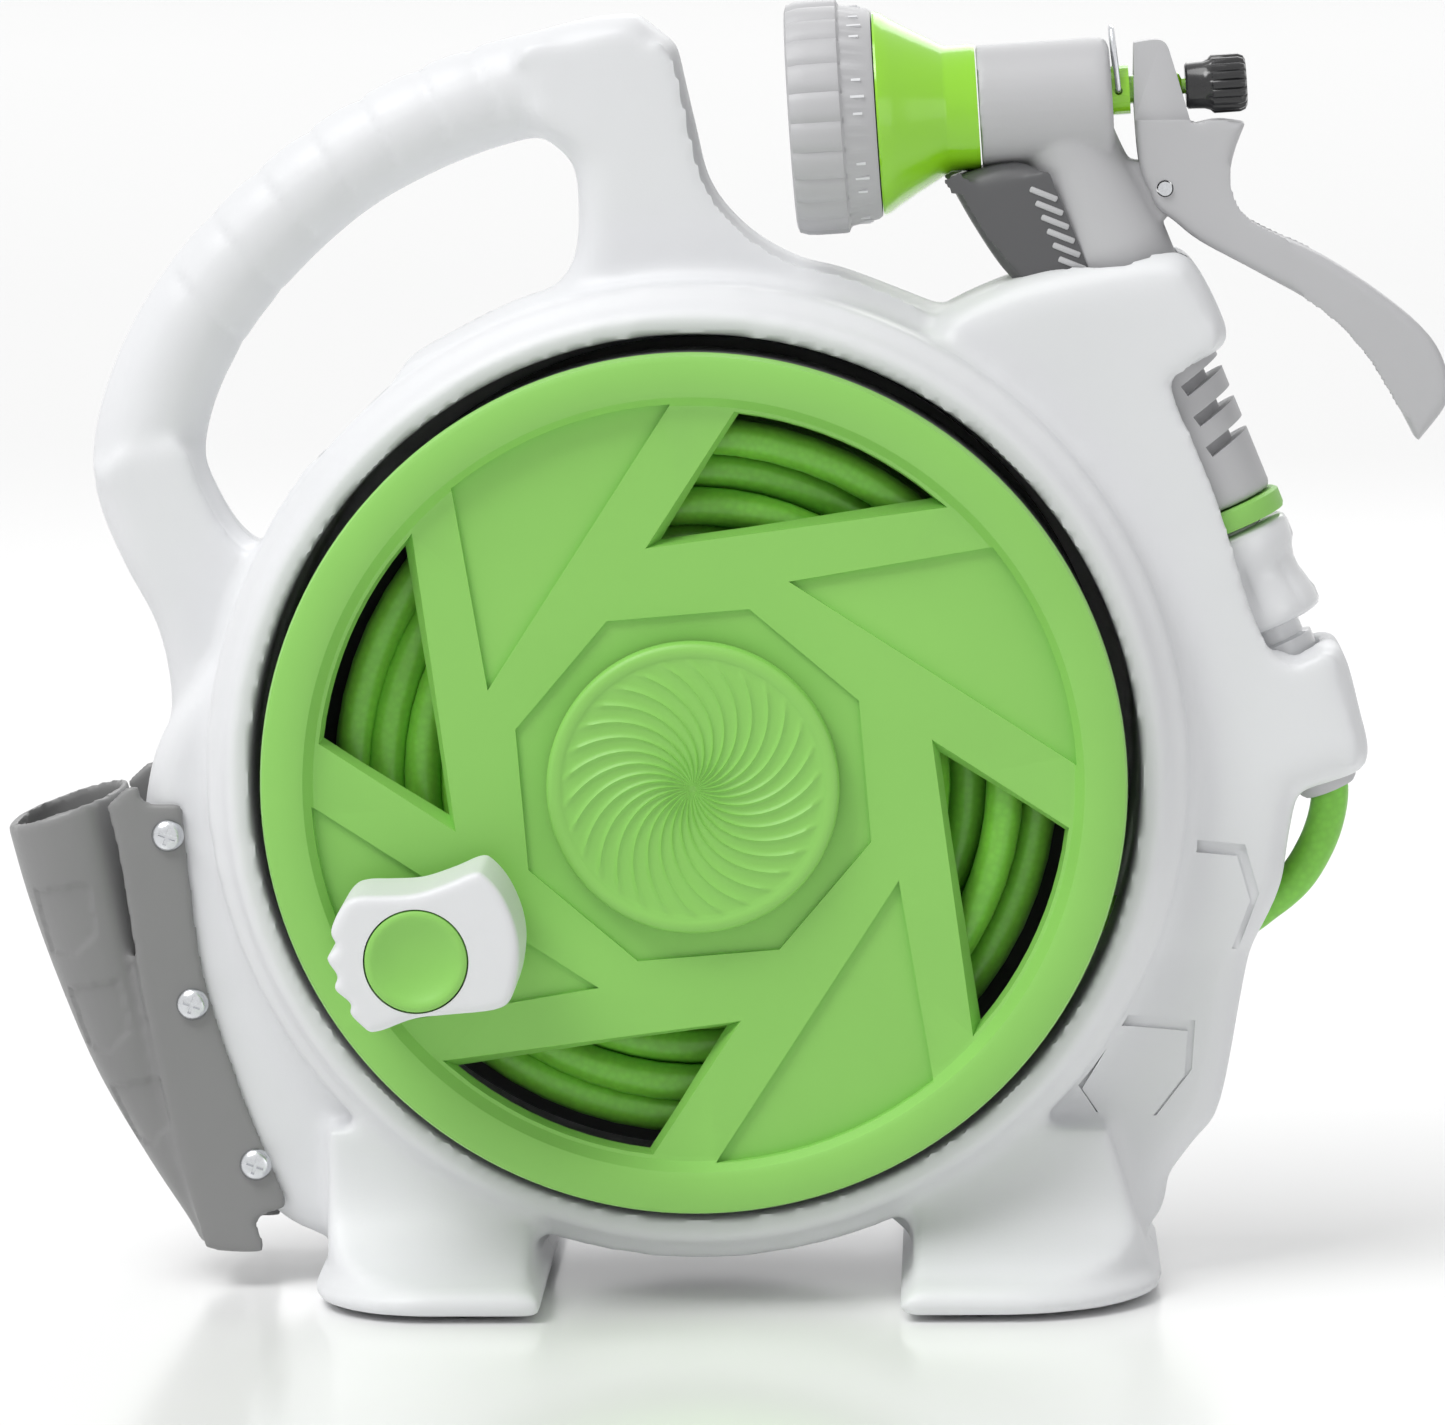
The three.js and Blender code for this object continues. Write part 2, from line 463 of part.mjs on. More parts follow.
// A window: an arc under the rim, drawn to a point nearer the hub, so the four make a pinwheel.
function windowShape(start) {
  const at = (r, angle) => new THREE.Vector2(r * Math.cos(deg(start + angle)),
    r * Math.sin(deg(start + angle)));
  const points = [];
  for (let k = 0; k <= 8; k += 1) points.push(at(WINDOW_OUT, (32.5 * k) / 8));
  points.push(at(WINDOW_TIP, 46.7));
  return points;
}
const crankAt = [CRANK_R * Math.cos(deg(CRANK_ANGLE)), CRANK_R * Math.sin(deg(CRANK_ANGLE))];
{
  let face = turnY([[0, FACE_FRONT], [RIM_IN - 2.5, FACE_FRONT], [RIM_IN, RIM_FRONT], [DISC_R - 2, RIM_FRONT],
    [DISC_R, RIM_FRONT + 2], [DISC_R, FACE_BACK], [0, FACE_BACK]], 0, 0, 48);
  for (let k = 0; k < 4; k += 1) face = face.subtract(slab(windowShape(50 + 90 * k), -BIG, BIG));
  face = face.subtract(rodY(HUB_CAP_R - 6.5, -BIG, BIG, 0, 0, 48));
  face = face.subtract(rodY(CRANK_PIN_R + CLEAR, -BIG, BIG, ...crankAt, 20));
  add("drum_face", face, GREEN);

  const back = FACE_BACK + CLEAR;
  add("drum_rim_ring", turnY([[RIM_IN, back], [DISC_R - 0.5, back], [DISC_R - 0.5, back + SKIRT_LONG],
    [DISC_R - 3.5, back + SKIRT_LONG], [DISC_R - 3.5, back + 3], [RIM_IN, back + 3]], 0, 0, 48), DARK);
  let core = turnY([[CORE_R - 3, back], [CORE_R, back], [CORE_R, FLANGE_Y], [HUB_R, FLANGE_Y], [HUB_R,
    FLANGE_Y - 60],
    [HUB_R + 3, FLANGE_Y - 60], [HUB_R + 3, FLANGE_Y - 4], [CORE_R - 3, FLANGE_Y - 4]], 0, 0, 48);
  const acrossX = (profile, segments = 20) => turnAlong(profile, new THREE.Vector3(0, BARB_Y, 0),
    new THREE.Vector3(1, 0, 0), segments);
  core = core.subtract(acrossX([[0, CORE_R - 12], [HOSE_D / 2 + 2, CORE_R - 12], [HOSE_D / 2 + 2, CORE_R + 12],
    [0, CORE_R + 12]]));
  add("drum_core", core, DARK);
  add("drum_rear_flange", turnY([[HUB_R + 1, FLANGE_Y + CLEAR], [DISC_R - 2, FLANGE_Y + CLEAR],
    [DISC_R - 2, FLANGE_Y + CLEAR + FLANGE_THICK], [HUB_R + 1, FLANGE_Y + CLEAR + FLANGE_THICK]], 0, 0, 72),
      DARK);
  add("hose_coil", turnY([[CORE_R + CLEAR, back + 3.5], [COIL_R - 3, back + 3.5], [COIL_R, back + 7], [COIL_R,
    FLANGE_Y - 4],
    [COIL_R - 4, FLANGE_Y - CLEAR], [CORE_R + CLEAR, FLANGE_Y - CLEAR]], 0, 0, 48), GREEN);
  const capBack = FACE_FRONT - CLEAR;
  const capFront = RIM_FRONT - CAP_PROUD;
  const skirt = HUB_CAP_R - 6.5 - CLEAR;
  add("hub_cap", turnY([[0, capFront], [HUB_CAP_R - 1.8, capFront], [HUB_CAP_R, capFront + 1.8], [HUB_CAP_R,
    capBack],
    [skirt, capBack], [skirt, FACE_BACK + 5], [skirt - 2, FACE_BACK + 5], [skirt - 2, capFront + 3], [0,
      capFront + 3]], 0, 0, 36), GREEN);
  add("hub_bush", turnY([[AXLE_R + CLEAR, FLANGE_Y - 58], [HUB_R - CLEAR, FLANGE_Y - 58], [HUB_R - CLEAR,
    FLANGE_Y + 2],
    [AXLE_R + CLEAR, FLANGE_Y + 2]], 0, 0, 32), GREY);
  const barbFrom = HUB_R + 3 + CLEAR;
  add("hose_barb", acrossX([[0, barbFrom], [6, barbFrom], [6, barbFrom + 4], [3, barbFrom + 4], [3,
    CORE_R - 6], [0, CORE_R - 6]]), BRASS);
  const innerR = HOSE_D / 2;
  add("hose_inner_end", acrossX([[3 + CLEAR, barbFrom + 5], [innerR, barbFrom + 5], [innerR, CORE_R - 1],
    [3 + CLEAR, CORE_R - 1]]), GREEN);
  add("barb_clamp", acrossX([[innerR + CLEAR, barbFrom + 8], [innerR + 1.6, barbFrom + 8], [innerR + 1.6,
    barbFrom + 13],
    [innerR + CLEAR, barbFrom + 13]], 24), STEEL);

  // The crank: a riveted pin in the face, and a grip that turns on it.
  const gripBack = RIM_FRONT - 1.5;
  const gripFront = gripBack - CRANK_TALL;
  const seat = gripFront + 11;
  add("crank_pin", turnY([[0, FACE_BACK + 2], [CRANK_PIN_R + 2.5, FACE_BACK + 2], [CRANK_PIN_R + 2.5,
    FACE_BACK + CLEAR],
    [CRANK_PIN_R, FACE_BACK + CLEAR], [CRANK_PIN_R, FACE_FRONT - CLEAR], [CRANK_PIN_R + 4, FACE_FRONT - CLEAR],
    [CRANK_PIN_R + 4, gripBack + CLEAR], [CRANK_PIN_R, gripBack + CLEAR], [CRANK_PIN_R, gripFront + 7.5],
    [0, gripFront + 7.5]], ...crankAt, 24), STEEL);
  const grip = outline(
    [[-9, 18], [-18, 17], [-23, 8.6], [-21.6, 4.1], [-24.2, 0.6], [-21.4, -4.2], [-22.3, -7.7], [-18, -11.7],
      [-18, -14.8], [-13.2, -19.6]],
    [[-13.2, -19.6], [-9.7, -19.2], [-0.5, -15.9], [10, -14.8], [21.5, -13.5], [25.9, -10], [28.1, 0.2], [27.3,
      9], [23.7, 17.8],
     [18.9, 23.5], [15.8, 24.2], [8.8, 21.3], [0, 18.5], [-9, 18]],
  ).map((p) => new THREE.Vector2(p.x + crankAt[0], p.y + crankAt[1]));
  add("crank_grip", slab(grip, gripFront, gripBack)
    .subtract(rodY(CRANK_PIN_R + CLEAR, -BIG, BIG, ...crankAt, 24))
    .subtract(rodY(CRANK_PIN_R + 5, -BIG, seat, ...crankAt, 24))
    .subtract(rodY(CRANK_CAP_R + CLEAR, -BIG, gripFront + 6, ...crankAt, 32)), WHITE);
  add("crank_washer", turnY([[CRANK_PIN_R + CLEAR, seat - CLEAR], [CRANK_PIN_R + 4, seat - CLEAR],
    [CRANK_PIN_R + 4, seat - CLEAR - 1.5],
    [CRANK_PIN_R + CLEAR, seat - CLEAR - 1.5]], ...crankAt, 24), STEEL);
  add("crank_cap", turnY([[0, gripFront - 0.6], [CRANK_CAP_R - 1, gripFront - 0.6], [CRANK_CAP_R,
    gripFront + 0.4],
    [CRANK_CAP_R, gripFront + 6 - CLEAR], [0, gripFront + 6 - CLEAR]], ...crankAt, 32), GREEN);
}

// ---- the water axle, fixed to the rear shell ----------------------------------------------------------------------
{
  const inside = AXLE_R - CLEAR;
  const flange = BAND_DEPTH + CLEAR;
  add("water_axle", turnY([[AXLE_BORE, FLANGE_Y - 56], [inside, FLANGE_Y - 56], [inside, flange], [AXLE_R + 6,
    flange],
    [AXLE_R + 6, flange + 5], [AXLE_BORE, flange + 5]], 0, 0, 32), GREY);
  const seat = flange + 5 + CLEAR;
  add("inlet_plug", turnY([[5, seat], [14, seat], [14, seat + 7], [8, seat + 8.5], [8, seat + 13], [6.4,
    seat + 13.6], [6.4, seat + 16.4],
    [8, seat + 17], [7.4, seat + 21], [5, seat + 21]], 0, 0, 32), DARK);
  add("inlet_seal", turnY([[6.4 + CLEAR, seat + 14.2], [8.6, seat + 14.2], [8.6, seat + 15.9], [6.4 + CLEAR,
    seat + 15.9]], 0, 0, 24), RUBBER);
}

// ---- the spray gun ------------------------------------------------------------------------------------------------
{
  const nose = new THREE.Vector3(-Math.cos(deg(3.3)), 0, -Math.sin(deg(3.3)));
  const centre = gunAt(0);
  const alongBarrel = (profile, segments = 28) => turnAlong(profile, centre, nose, segments);
  const stemFrom = centre.clone().add(new THREE.Vector3(0, 0, STEM_RISE));
  const alongStem = (profile, segments = 20) => turnAlong(profile, stemFrom, nose, segments);
  const placed = (list) => v2(list.map(([x, z]) => [x - GUN_AT[0] + gunPlace[0], z - GUN_AT[1] + gunPlace[1]]));
  const put = (...stretches) => outline(...stretches.map((stretch) =>
    stretch.map(([x, z]) => [x - GUN_AT[0] + gunPlace[0], z - GUN_AT[1] + gunPlace[1]])));
  const [pivot] = placed([[131.5, 160.5]]);
  const earHalf = TRIGGER_HALF - 3.2;
  const bore = 7.2;

  let body = alongBarrel([[0, -BARREL_REAR], [13.5, -BARREL_REAR], [BARREL_R, -BARREL_REAR + 4], [BARREL_R,
    BARREL_FRONT], [0, BARREL_FRONT]]);
  body = body.add(alongGun([[0, 0], [HANDLE_R - 3.6, 0], [HANDLE_R - 3, 19], [HANDLE_R, 42], [HANDLE_R,
    HANDLE_LONG - CLEAR], [0, HANDLE_LONG - CLEAR]], 36));
  body = body.add(slab(placed([[106.5, 142], [125, 146], [137, 156.5], [137, 164], [131, 167], [106.5, 171]]),
    -earHalf, earHalf));
  body = body.subtract(alongStem([[0, -40], [bore, -40], [bore, 4], [0, 4]], 24));
  body = body.subtract(rodY(PIN_R + CLEAR, -BIG, BIG, pivot.x, pivot.y, 16));
  // Ribs down the side of the handle that the window shows.
  for (let k = 0; k < 3; k += 1) {
    const at = gunAt(72 + k * 10.5);
    const cut = new THREE.BoxGeometry(20, 2 * HANDLE_R + 4, 4.4);
    cut.rotateY(deg(-34));
    cut.translate(at.x + 15, 0, at.z + 9);
    body = body.subtract(solid(cut));
  }
  body = body.subtract(tube(0, NIPPLE_R + CLEAR, HANDLE_LONG - 14, BIG, 24));
  add("gun_body", body, GREY);

  const around = alongGun([[0, -5], [HANDLE_R + CLEAR, -5], [HANDLE_R + CLEAR, 90], [0, 90]], 36)
    .add(alongBarrel([[0, -25], [BARREL_R + CLEAR, -25], [BARREL_R + CLEAR, BARREL_FRONT + 40], [0,
      BARREL_FRONT + 40]]))
    .add(alongBarrel([[0, BARREL_FRONT + 9], [BARREL_R + CLEAR, BARREL_FRONT + 9], [CONE_R + 1,
      BARREL_FRONT + 27], [0, BARREL_FRONT + 27]]));
  add("gun_front_pad", slab(put([[73.5, 163], [86, 167], [102.5, 167]], [[102.5, 167], [110.5, 148.5], [106.5,
    144], [92, 141.5]],
    [[92, 141.5], [86, 144], [78, 153.5], [73.5, 163]]), -10, 10).subtract(around), DARK);

  const coneFrom = BARREL_FRONT + CLEAR;
  add("gun_cone", alongBarrel([[10, coneFrom], [BARREL_R + 0.2, coneFrom], [BARREL_R + 0.2, coneFrom + 9], [20,
    coneFrom + 15],
    [25.5, coneFrom + 22], [CONE_R, coneFrom + 28], [10, coneFrom + 28]]), GLOSS_GREEN);
  const dialFrom = coneFrom + 28 + CLEAR;
  add("pattern_dial", alongBarrel([[9, dialFrom], [CONE_R + 0.2, dialFrom], [30, dialFrom + 6], [DIAL_R,
    dialFrom + 7.5], [DIAL_R, dialFrom + 22],
    [30.5, dialFrom + 24], [27, dialFrom + 24], [27, dialFrom + 14], [9, dialFrom + 14]], 32), GREY);
  add("spray_plate", alongBarrel([[5, dialFrom + 14 + CLEAR], [26.6, dialFrom + 14 + CLEAR], [26.6,
    dialFrom + 20], [22, dialFrom + 22],
    [5, dialFrom + 20]], 24), DARK);
  add("dial_screw", alongBarrel([[0, coneFrom], [4, coneFrom], [4, dialFrom + 21], [6, dialFrom + 22.4], [5,
    dialFrom + 24], [0, dialFrom + 24]], 20), STEEL);

  add("valve_gland", alongStem([[STEM_R + CLEAR, -22.3], [bore - CLEAR, -22.3], [bore - CLEAR, -13],
    [STEM_R + CLEAR, -13]], 24)
    .subtract(rodY(WIRE_R + CLEAR, -BIG, BIG, stemFrom.x + HINGE_BACK, stemFrom.z + HINGE_RISE, 12)),
      GLOSS_GREEN);
  add("valve_stem", alongStem([[0, -51], [2.2, -51], [2.2, -37], [STEM_R, -36], [STEM_R, -1], [6.4, -1], [6.4,
    2], [0, 2]]), GLOSS_GREEN);
  add("flow_knob", alongStem([[2.2 + CLEAR, -38], [6.4, -38], [6.9, -45], [8.2, -46.5], [8.2, -53], [6.8, -55],
    [0, -55], [0, -51 - CLEAR],
    [2.2 + CLEAR, -51 - CLEAR]], 24), BLACK);
  const turns = 4;
  const coil = new THREE.CatmullRomCurve3(Array.from({ length: turns * 10 + 1 }, (_, k) => {
    const a = (k / 10) * 2 * Math.PI;
    const along = -2.2 - (k / (turns * 10)) * 9.6;
    const up = new THREE.Vector3(-nose.z, 0, nose.x);
    return stemFrom.clone().addScaledVector(nose, along).addScaledVector(up,
      5.6 * Math.cos(a)).add(new THREE.Vector3(0, 5.6 * Math.sin(a), 0));
  }));
  const ngon = (r, n) => new THREE.Shape(v2(Array.from({ length: n }, (_, k) =>
    [r * Math.cos((2 * Math.PI * k) / n), r * Math.sin((2 * Math.PI * k) / n)])));
  add("valve_spring", solid(new THREE.ExtrudeGeometry(ngon(0.6, 5), { steps: turns * 10, extrudePath: coil,
    bevelEnabled: false })), STEEL);

  let trigger = slab(put(
    [[123, 201], [131, 201.5], [134, 195], [139, 178]],
    [[139, 178], [146.5, 179.5], [154, 178.5]],
    [[154, 178.5], [150.5, 169], [150, 160], [155.5, 151], [175, 141.5], [192.5, 130], [205.5, 118.5], [210.5,
      107.5], [210, 99.5], [202, 89]],
    [[202, 89], [196.5, 99.5], [187.5, 114], [175, 126.5], [158, 136.5], [141.5, 145.5], [134.5, 151]],
    [[134.5, 151], [129.5, 155], [127.5, 159.5]],
    [[127.5, 159.5], [124.5, 167], [123, 184.5], [123, 201]]), -TRIGGER_HALF, TRIGGER_HALF);
  const slim = slab(placed([[102.5, 179.5], [164, 179.5], [164, 241.5], [102.5, 241.5]]), -BIG, BIG);
  const slimmer = slab(placed([[102.5, 178.5], [164, 178.5], [164, 241.5], [102.5, 241.5]]), -5.6, 5.6);
  trigger = trigger.subtract(slim.subtract(slimmer));
  trigger = trigger.subtract(slab(placed([[102.5, 127.5], [125, 127.5], [141.5, 148.5], [141.5, 169], [134.5,
    173], [102.5, 177.5]]), -earHalf - CLEAR, earHalf + CLEAR));
  trigger = trigger.subtract(alongStem([[0, -60], [STEM_R + 1.5, -60], [STEM_R + 1.5, 0], [0, 0]]));
  trigger = trigger.subtract(rodY(PIN_R + CLEAR, -BIG, BIG, pivot.x, pivot.y, 16));
  add("trigger", trigger, GREY);
  add("trigger_pin", rodY(PIN_R, -TRIGGER_HALF - 1, TRIGGER_HALF + 1, pivot.x, pivot.y, 16), STEEL);

  // Wire loop that swings over the trigger's top to hold it squeezed.
  const hinge = new THREE.Vector3(stemFrom.x + HINGE_BACK, 0, stemFrom.z + HINGE_RISE);
  const tip = new THREE.Vector3(-2, 0, 17.5);
  const at = (y, k) => hinge.clone().addScaledVector(tip, k).add(new THREE.Vector3(0, y, 0));
  const loop = new THREE.CatmullRomCurve3([at(-5.6, 0), at(-7.6, 0.02), at(-8.2, 0.12), at(-7.4, 0.55), at(-5,
    0.93), at(0, 1), at(5, 0.93),
    at(7.4, 0.55), at(8.2, 0.12), at(7.6, 0.02), at(5.6, 0)], false, "catmullrom", 0.4);
  add("lock_clip", solid(new THREE.ExtrudeGeometry(ngon(WIRE_R, 6), { steps: 30, extrudePath: loop,
    bevelEnabled: false })), STEEL);

  add("gun_collar", tube(NIPPLE_R + CLEAR, COLLAR_R, HANDLE_LONG, HANDLE_LONG + COLLAR_LONG), GREEN);
  add("gun_nipple", tube(0, NIPPLE_R, HANDLE_LONG - 12, HANDLE_LONG + COLLAR_LONG + NIPPLE_LONG), BLACK);
}

// ---- hose end: connector, nut and the loop of hose back to the drum -----------------------------------------------
{
  const collar = NIPPLE_R + CLEAR * 2;
  add("connector_body", alongGun([[collar, SLEEVE_FROM], [10, SLEEVE_FROM], [10, SPIGOT_FROM], [SPIGOT_R,
    SPIGOT_FROM], [SPIGOT_R, SPIGOT_FROM + SPIGOT_LONG],
    [4, SPIGOT_FROM + SPIGOT_LONG], [4, SPIGOT_FROM + 4], [collar, SPIGOT_FROM + 4]]), WHITE);
  const [a, b] = [SLEEVE_FROM + 1, SLEEVE_FROM + CONNECTOR_LONG - 5];
  add("connector_sleeve", alongGun([[10 + CLEAR, a], [CONNECTOR_R - 1, a], [CONNECTOR_R, a + 2], [CONNECTOR_R,
    a + 8], [CONNECTOR_R - 2, a + 14], [CONNECTOR_R, b - 2],
    [CONNECTOR_R - 1, b], [10 + CLEAR, b]]), WHITE);
  const hoseHole = HOSE_D / 2 + 0.9;
  add("connector_nut", alongGun([[hoseHole, NUT_FROM], [NUT_R, NUT_FROM], [NUT_R, NUT_TO - 2], [NUT_R - 1,
    NUT_TO], [hoseHole, NUT_TO]]), GREY);
  const start = gunAt(NUT_FROM + 5);
  const mouth = gunAt(NUT_TO);
  const route = [start, mouth];
  for (const p of [[177, -17.5], [174, -26], [168.5, -35], [160.5, -42], [149.5, -48.5], [134, -44]]) {
    const [x, z] = about(p);
    route.push(new THREE.Vector3(x, 0, z));
  }
  const lead = COIL_R + HOSE_D / 2 + 4;
  route.push(new THREE.Vector3(lead * Math.cos(deg(-24)), 0, lead * Math.sin(deg(-24))));
  const section = new THREE.Shape(v2(Array.from({ length: 12 }, (_, k) =>
    [(HOSE_D / 2) * Math.cos((k * Math.PI) / 6), (HOSE_D / 2) * Math.sin((k * Math.PI) / 6)])));
  add("hose_tail", solid(new THREE.ExtrudeGeometry(section, {
    steps: 20, extrudePath: new THREE.CatmullRomCurve3(route), bevelEnabled: false })), GREEN);
}

// Feet on Z = 0, and the footprint's middle at the origin.
const box = new THREE.Box3().setFromObject(reel);
const middle = box.getCenter(new THREE.Vector3());
reel.position.set(-middle.x, -middle.y, -box.min.z);

export default reel;
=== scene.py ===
"""A hand-carried garden hose reel: its looks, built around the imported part."""

import json
import math

import bmesh
import bpy
from bpy.props import FloatProperty, IntProperty, PointerProperty, StringProperty
from mathutils import Matrix, Vector


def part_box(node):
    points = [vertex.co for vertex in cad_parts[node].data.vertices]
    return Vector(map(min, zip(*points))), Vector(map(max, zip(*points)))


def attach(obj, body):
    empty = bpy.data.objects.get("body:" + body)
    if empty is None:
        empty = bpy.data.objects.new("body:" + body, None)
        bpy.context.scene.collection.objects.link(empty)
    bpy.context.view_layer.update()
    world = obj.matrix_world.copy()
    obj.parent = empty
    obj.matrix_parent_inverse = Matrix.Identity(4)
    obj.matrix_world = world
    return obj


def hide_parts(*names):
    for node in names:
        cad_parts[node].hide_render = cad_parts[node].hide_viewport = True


bl_info = {
    "name": "Garden hose reel",
    "version": (1, 0, 0),
    "blender": (4, 5, 0),
    "location": "View3D > Sidebar > Reel",
    "description": "Builds the visible pieces of a hand-carried garden hose reel",
    "category": "Object",
}

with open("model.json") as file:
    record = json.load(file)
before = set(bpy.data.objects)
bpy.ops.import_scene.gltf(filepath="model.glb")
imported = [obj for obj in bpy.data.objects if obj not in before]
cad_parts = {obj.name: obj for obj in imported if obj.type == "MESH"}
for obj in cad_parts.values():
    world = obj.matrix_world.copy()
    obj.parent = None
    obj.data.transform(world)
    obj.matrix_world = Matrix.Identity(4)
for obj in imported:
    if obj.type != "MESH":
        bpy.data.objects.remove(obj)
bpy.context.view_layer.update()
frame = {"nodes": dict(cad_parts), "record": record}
MM = 0.001
JOINTS = {joint["name"]: joint for joint in frame["record"]["behaviour"]["joints"]}

# Everything is drawn in millimetres about the drum's axis, with y = 0 on the shells' parting plane.
ORIGIN = Vector((JOINTS["drum_spin"]["pos_m"][0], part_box("front_shell")[1][1] + 0.000175,
    JOINTS["drum_spin"]["pos_m"][2]))


def drawn_at(point):
    """A place in the part's frame, in the drawing's millimetres."""
    return (Vector(point) - ORIGIN) / MM


def joint_at(name):
    place = drawn_at(JOINTS[name]["pos_m"])
    return Vector((place.x, 0, place.z))


FLOOR = drawn_at((0, 0, 0)).z
GUN = joint_at("dial_turn")
PIVOT = joint_at("trigger_squeeze")
HINGE = joint_at("lock_clip_swing")
CRANK = joint_at("crank_knob_turn")
LEAN = math.radians(22)
DOWN = Vector((math.sin(LEAN), 0, -math.cos(LEAN)))
TILT = math.radians(3.3)
NOSE = Vector((-math.cos(TILT), 0, -math.sin(TILT)))
STEM = GUN + Vector((0, 0, 2))
ACROSS = Vector((0, 1, 0))
FAR = 300
FINISH = {}

# Lengths along the gun's handle, from the barrel's axis to the end of the hose nut.
GAP = 0.35
HANDLE_LONG = 123.5
COLLAR_LONG = 6
SLEEVE_LONG = 34
SPIGOT_LONG = 28
NUT_LONG = 16.5
SLEEVE_FROM = HANDLE_LONG + COLLAR_LONG + 2 * GAP
NUT_FROM = SLEEVE_FROM + SLEEVE_LONG + GAP + SPIGOT_LONG + GAP
NUT_TO = NUT_FROM + NUT_LONG


class ReelSizes(bpy.types.PropertyGroup):
    """Sizes, in millimetres, that a user would change."""

    shell_grain: FloatProperty(name="Shell grain", description="Spacing of the shells' surface mesh",
        default=1.7, min=1.2, max=4)
    gun_grain: FloatProperty(name="Gun grain", description="Spacing of the gun's surface mesh", default=0.9,
        min=0.6, max=2)
    pouch_grain: FloatProperty(name="Pouch grain", description="Spacing of the pouch's surface mesh",
        default=1.05, min=0.8, max=2)
    bay_radius: FloatProperty(name="Bay radius", description="Opening of the drum bay", default=123.5,
        min=120, max=130)
    hose_thickness: FloatProperty(name="Hose thickness", description="Outside diameter of the hose",
        default=10.5, min=8, max=14)
    swirl_ribs: IntProperty(name="Swirl ribs", description="Curved ribs on the hub cap", default=30, min=12,
        max=48)
    edge_round: FloatProperty(name="Edge rounding", description="Rounding of the drum face's edges",
        default=0.7, min=0.2, max=1.5)


class ReelColours(bpy.types.PropertyGroup):
    """Colours as sRGB hex values."""

    white: StringProperty(name="White", description="Shells and crank grip", default="#e2e3e5")
    green: StringProperty(name="Green", description="Drum face and hub cap", default="#8dcb60")
    gloss_green: StringProperty(name="Glossy green", description="Gun cone and valve", default="#93da1f")
    hose: StringProperty(name="Hose", description="The wound hose", default="#80cc45")
    grey: StringProperty(name="Grey", description="Gun, trigger and dial", default="#bcbcbe")
    pouch: StringProperty(name="Pouch grey", description="Tool pouch", default="#858585")
    dark: StringProperty(name="Dark grey", description="Drum ring and gun pad", default="#58585a")
    black: StringProperty(name="Black", description="Flow knob and nipple", default="#161618")


# ---- drawing helpers ----
def through(points, per=6):
    """Points on a smooth curve through the given ones."""
    points = [Vector(p) for p in points]
    made = []
    for i in range(len(points) - 1):
        a, b, c, d = points[max(i - 1, 0)], points[i], points[i + 1], points[min(i + 2, len(points) - 1)]
        for k in range(per):
            t = k / per
            bend = (2 * a - 5 * b + 4 * c - d) * t * t
            made.append(0.5 * (2 * b + (c - a) * t + bend + (3 * b - a - 3 * c + d) * t ** 3))
    return made + [points[-1]]


def outline(*stretches, per=6):
    """A closed outline of smooth stretches that meet at corners. Each goes on from the last one's end."""
    points = []
    end = None
    for stretch in stretches:
        stretch = [Vector(p) for p in stretch]
        if end is not None and (stretch[0] - end).length > 0.02:
            stretch.insert(0, end)
        end = stretch[-1]
        if len(stretch) > 2:
            stretch = through(stretch, per)
        for p in stretch:
            if not points or (p - points[-1]).length > 0.02:
                points.append(p)
    if (points[0] - points[-1]).length < 0.02:
        points.pop()
    return points


LIFTS = {
    "x": lambda a, b, depth: Vector((depth, a, b)),
    "y": lambda a, b, depth: Vector((a, depth, b)),
    "z": lambda a, b, depth: Vector((a, b, depth)),
}


def prism(points, low, high, along="y", soft=0.0, steps=4):
    """A closed outline extruded between two depths, with both rims rounded by soft."""
    bm = bmesh.new()
    lift = LIFTS[along]
    base = bm.faces.new([bm.verts.new(lift(a, b, low + soft)) for a, b in points])
    grown = bmesh.ops.extrude_face_region(bm, geom=[base])["geom"]
    tops = [g for g in grown if isinstance(g, bmesh.types.BMVert)]
    bmesh.ops.translate(bm, vec=lift(0, 0, high - low - 2 * soft), verts=tops)
    bmesh.ops.recalc_face_normals(bm, faces=bm.faces)
    if soft:
        caps = [base] + [g for g in grown if isinstance(g, bmesh.types.BMFace)][:1]
        for cap in caps:
            for k in range(steps):
                a, b = (k / steps) * math.pi / 2, ((k + 1) / steps) * math.pi / 2
                bmesh.ops.inset_region(bm, faces=[cap], thickness=soft * (math.cos(a) - math.cos(b)),
                    depth=soft * (math.sin(b) - math.sin(a)), use_even_offset=False, use_boundary=True)
    return bm


def turned(profile, centre=Vector(), axis=ACROSS, steps=96, ring=False):
    """A profile of (radius, place along the axis), turned right round. A ring's profile closes on itself."""
    bm = bmesh.new()
    across = Vector((1, 0, 0)) if abs(axis.x) < 0.1 else axis.cross(ACROSS).normalized()
    verts = [bm.verts.new(centre + across * r + axis * a) for r, a in profile]
    pairs = list(zip(verts, verts[1:])) + ([(verts[-1], verts[0])] if ring else [])
    edges = [bm.edges.new(pair) for pair in pairs]
    bmesh.ops.spin(bm, geom=verts + edges, cent=centre, axis=axis, angle=math.tau, steps=steps,
        use_merge=True)
    bmesh.ops.remove_doubles(bm, verts=bm.verts, dist=0.002)
    bmesh.ops.recalc_face_normals(bm, faces=bm.faces)
    return bm


def rod(radius, low, high, *place, **how):
    return turned([(0, low), (radius, low), (radius, high), (0, high)], *place, **how)


def hoop(inner, outer, low, high, *place, **how):
    return turned([(inner, low), (outer, low), (outer, high), (inner, high)], *place, ring=True, **how)


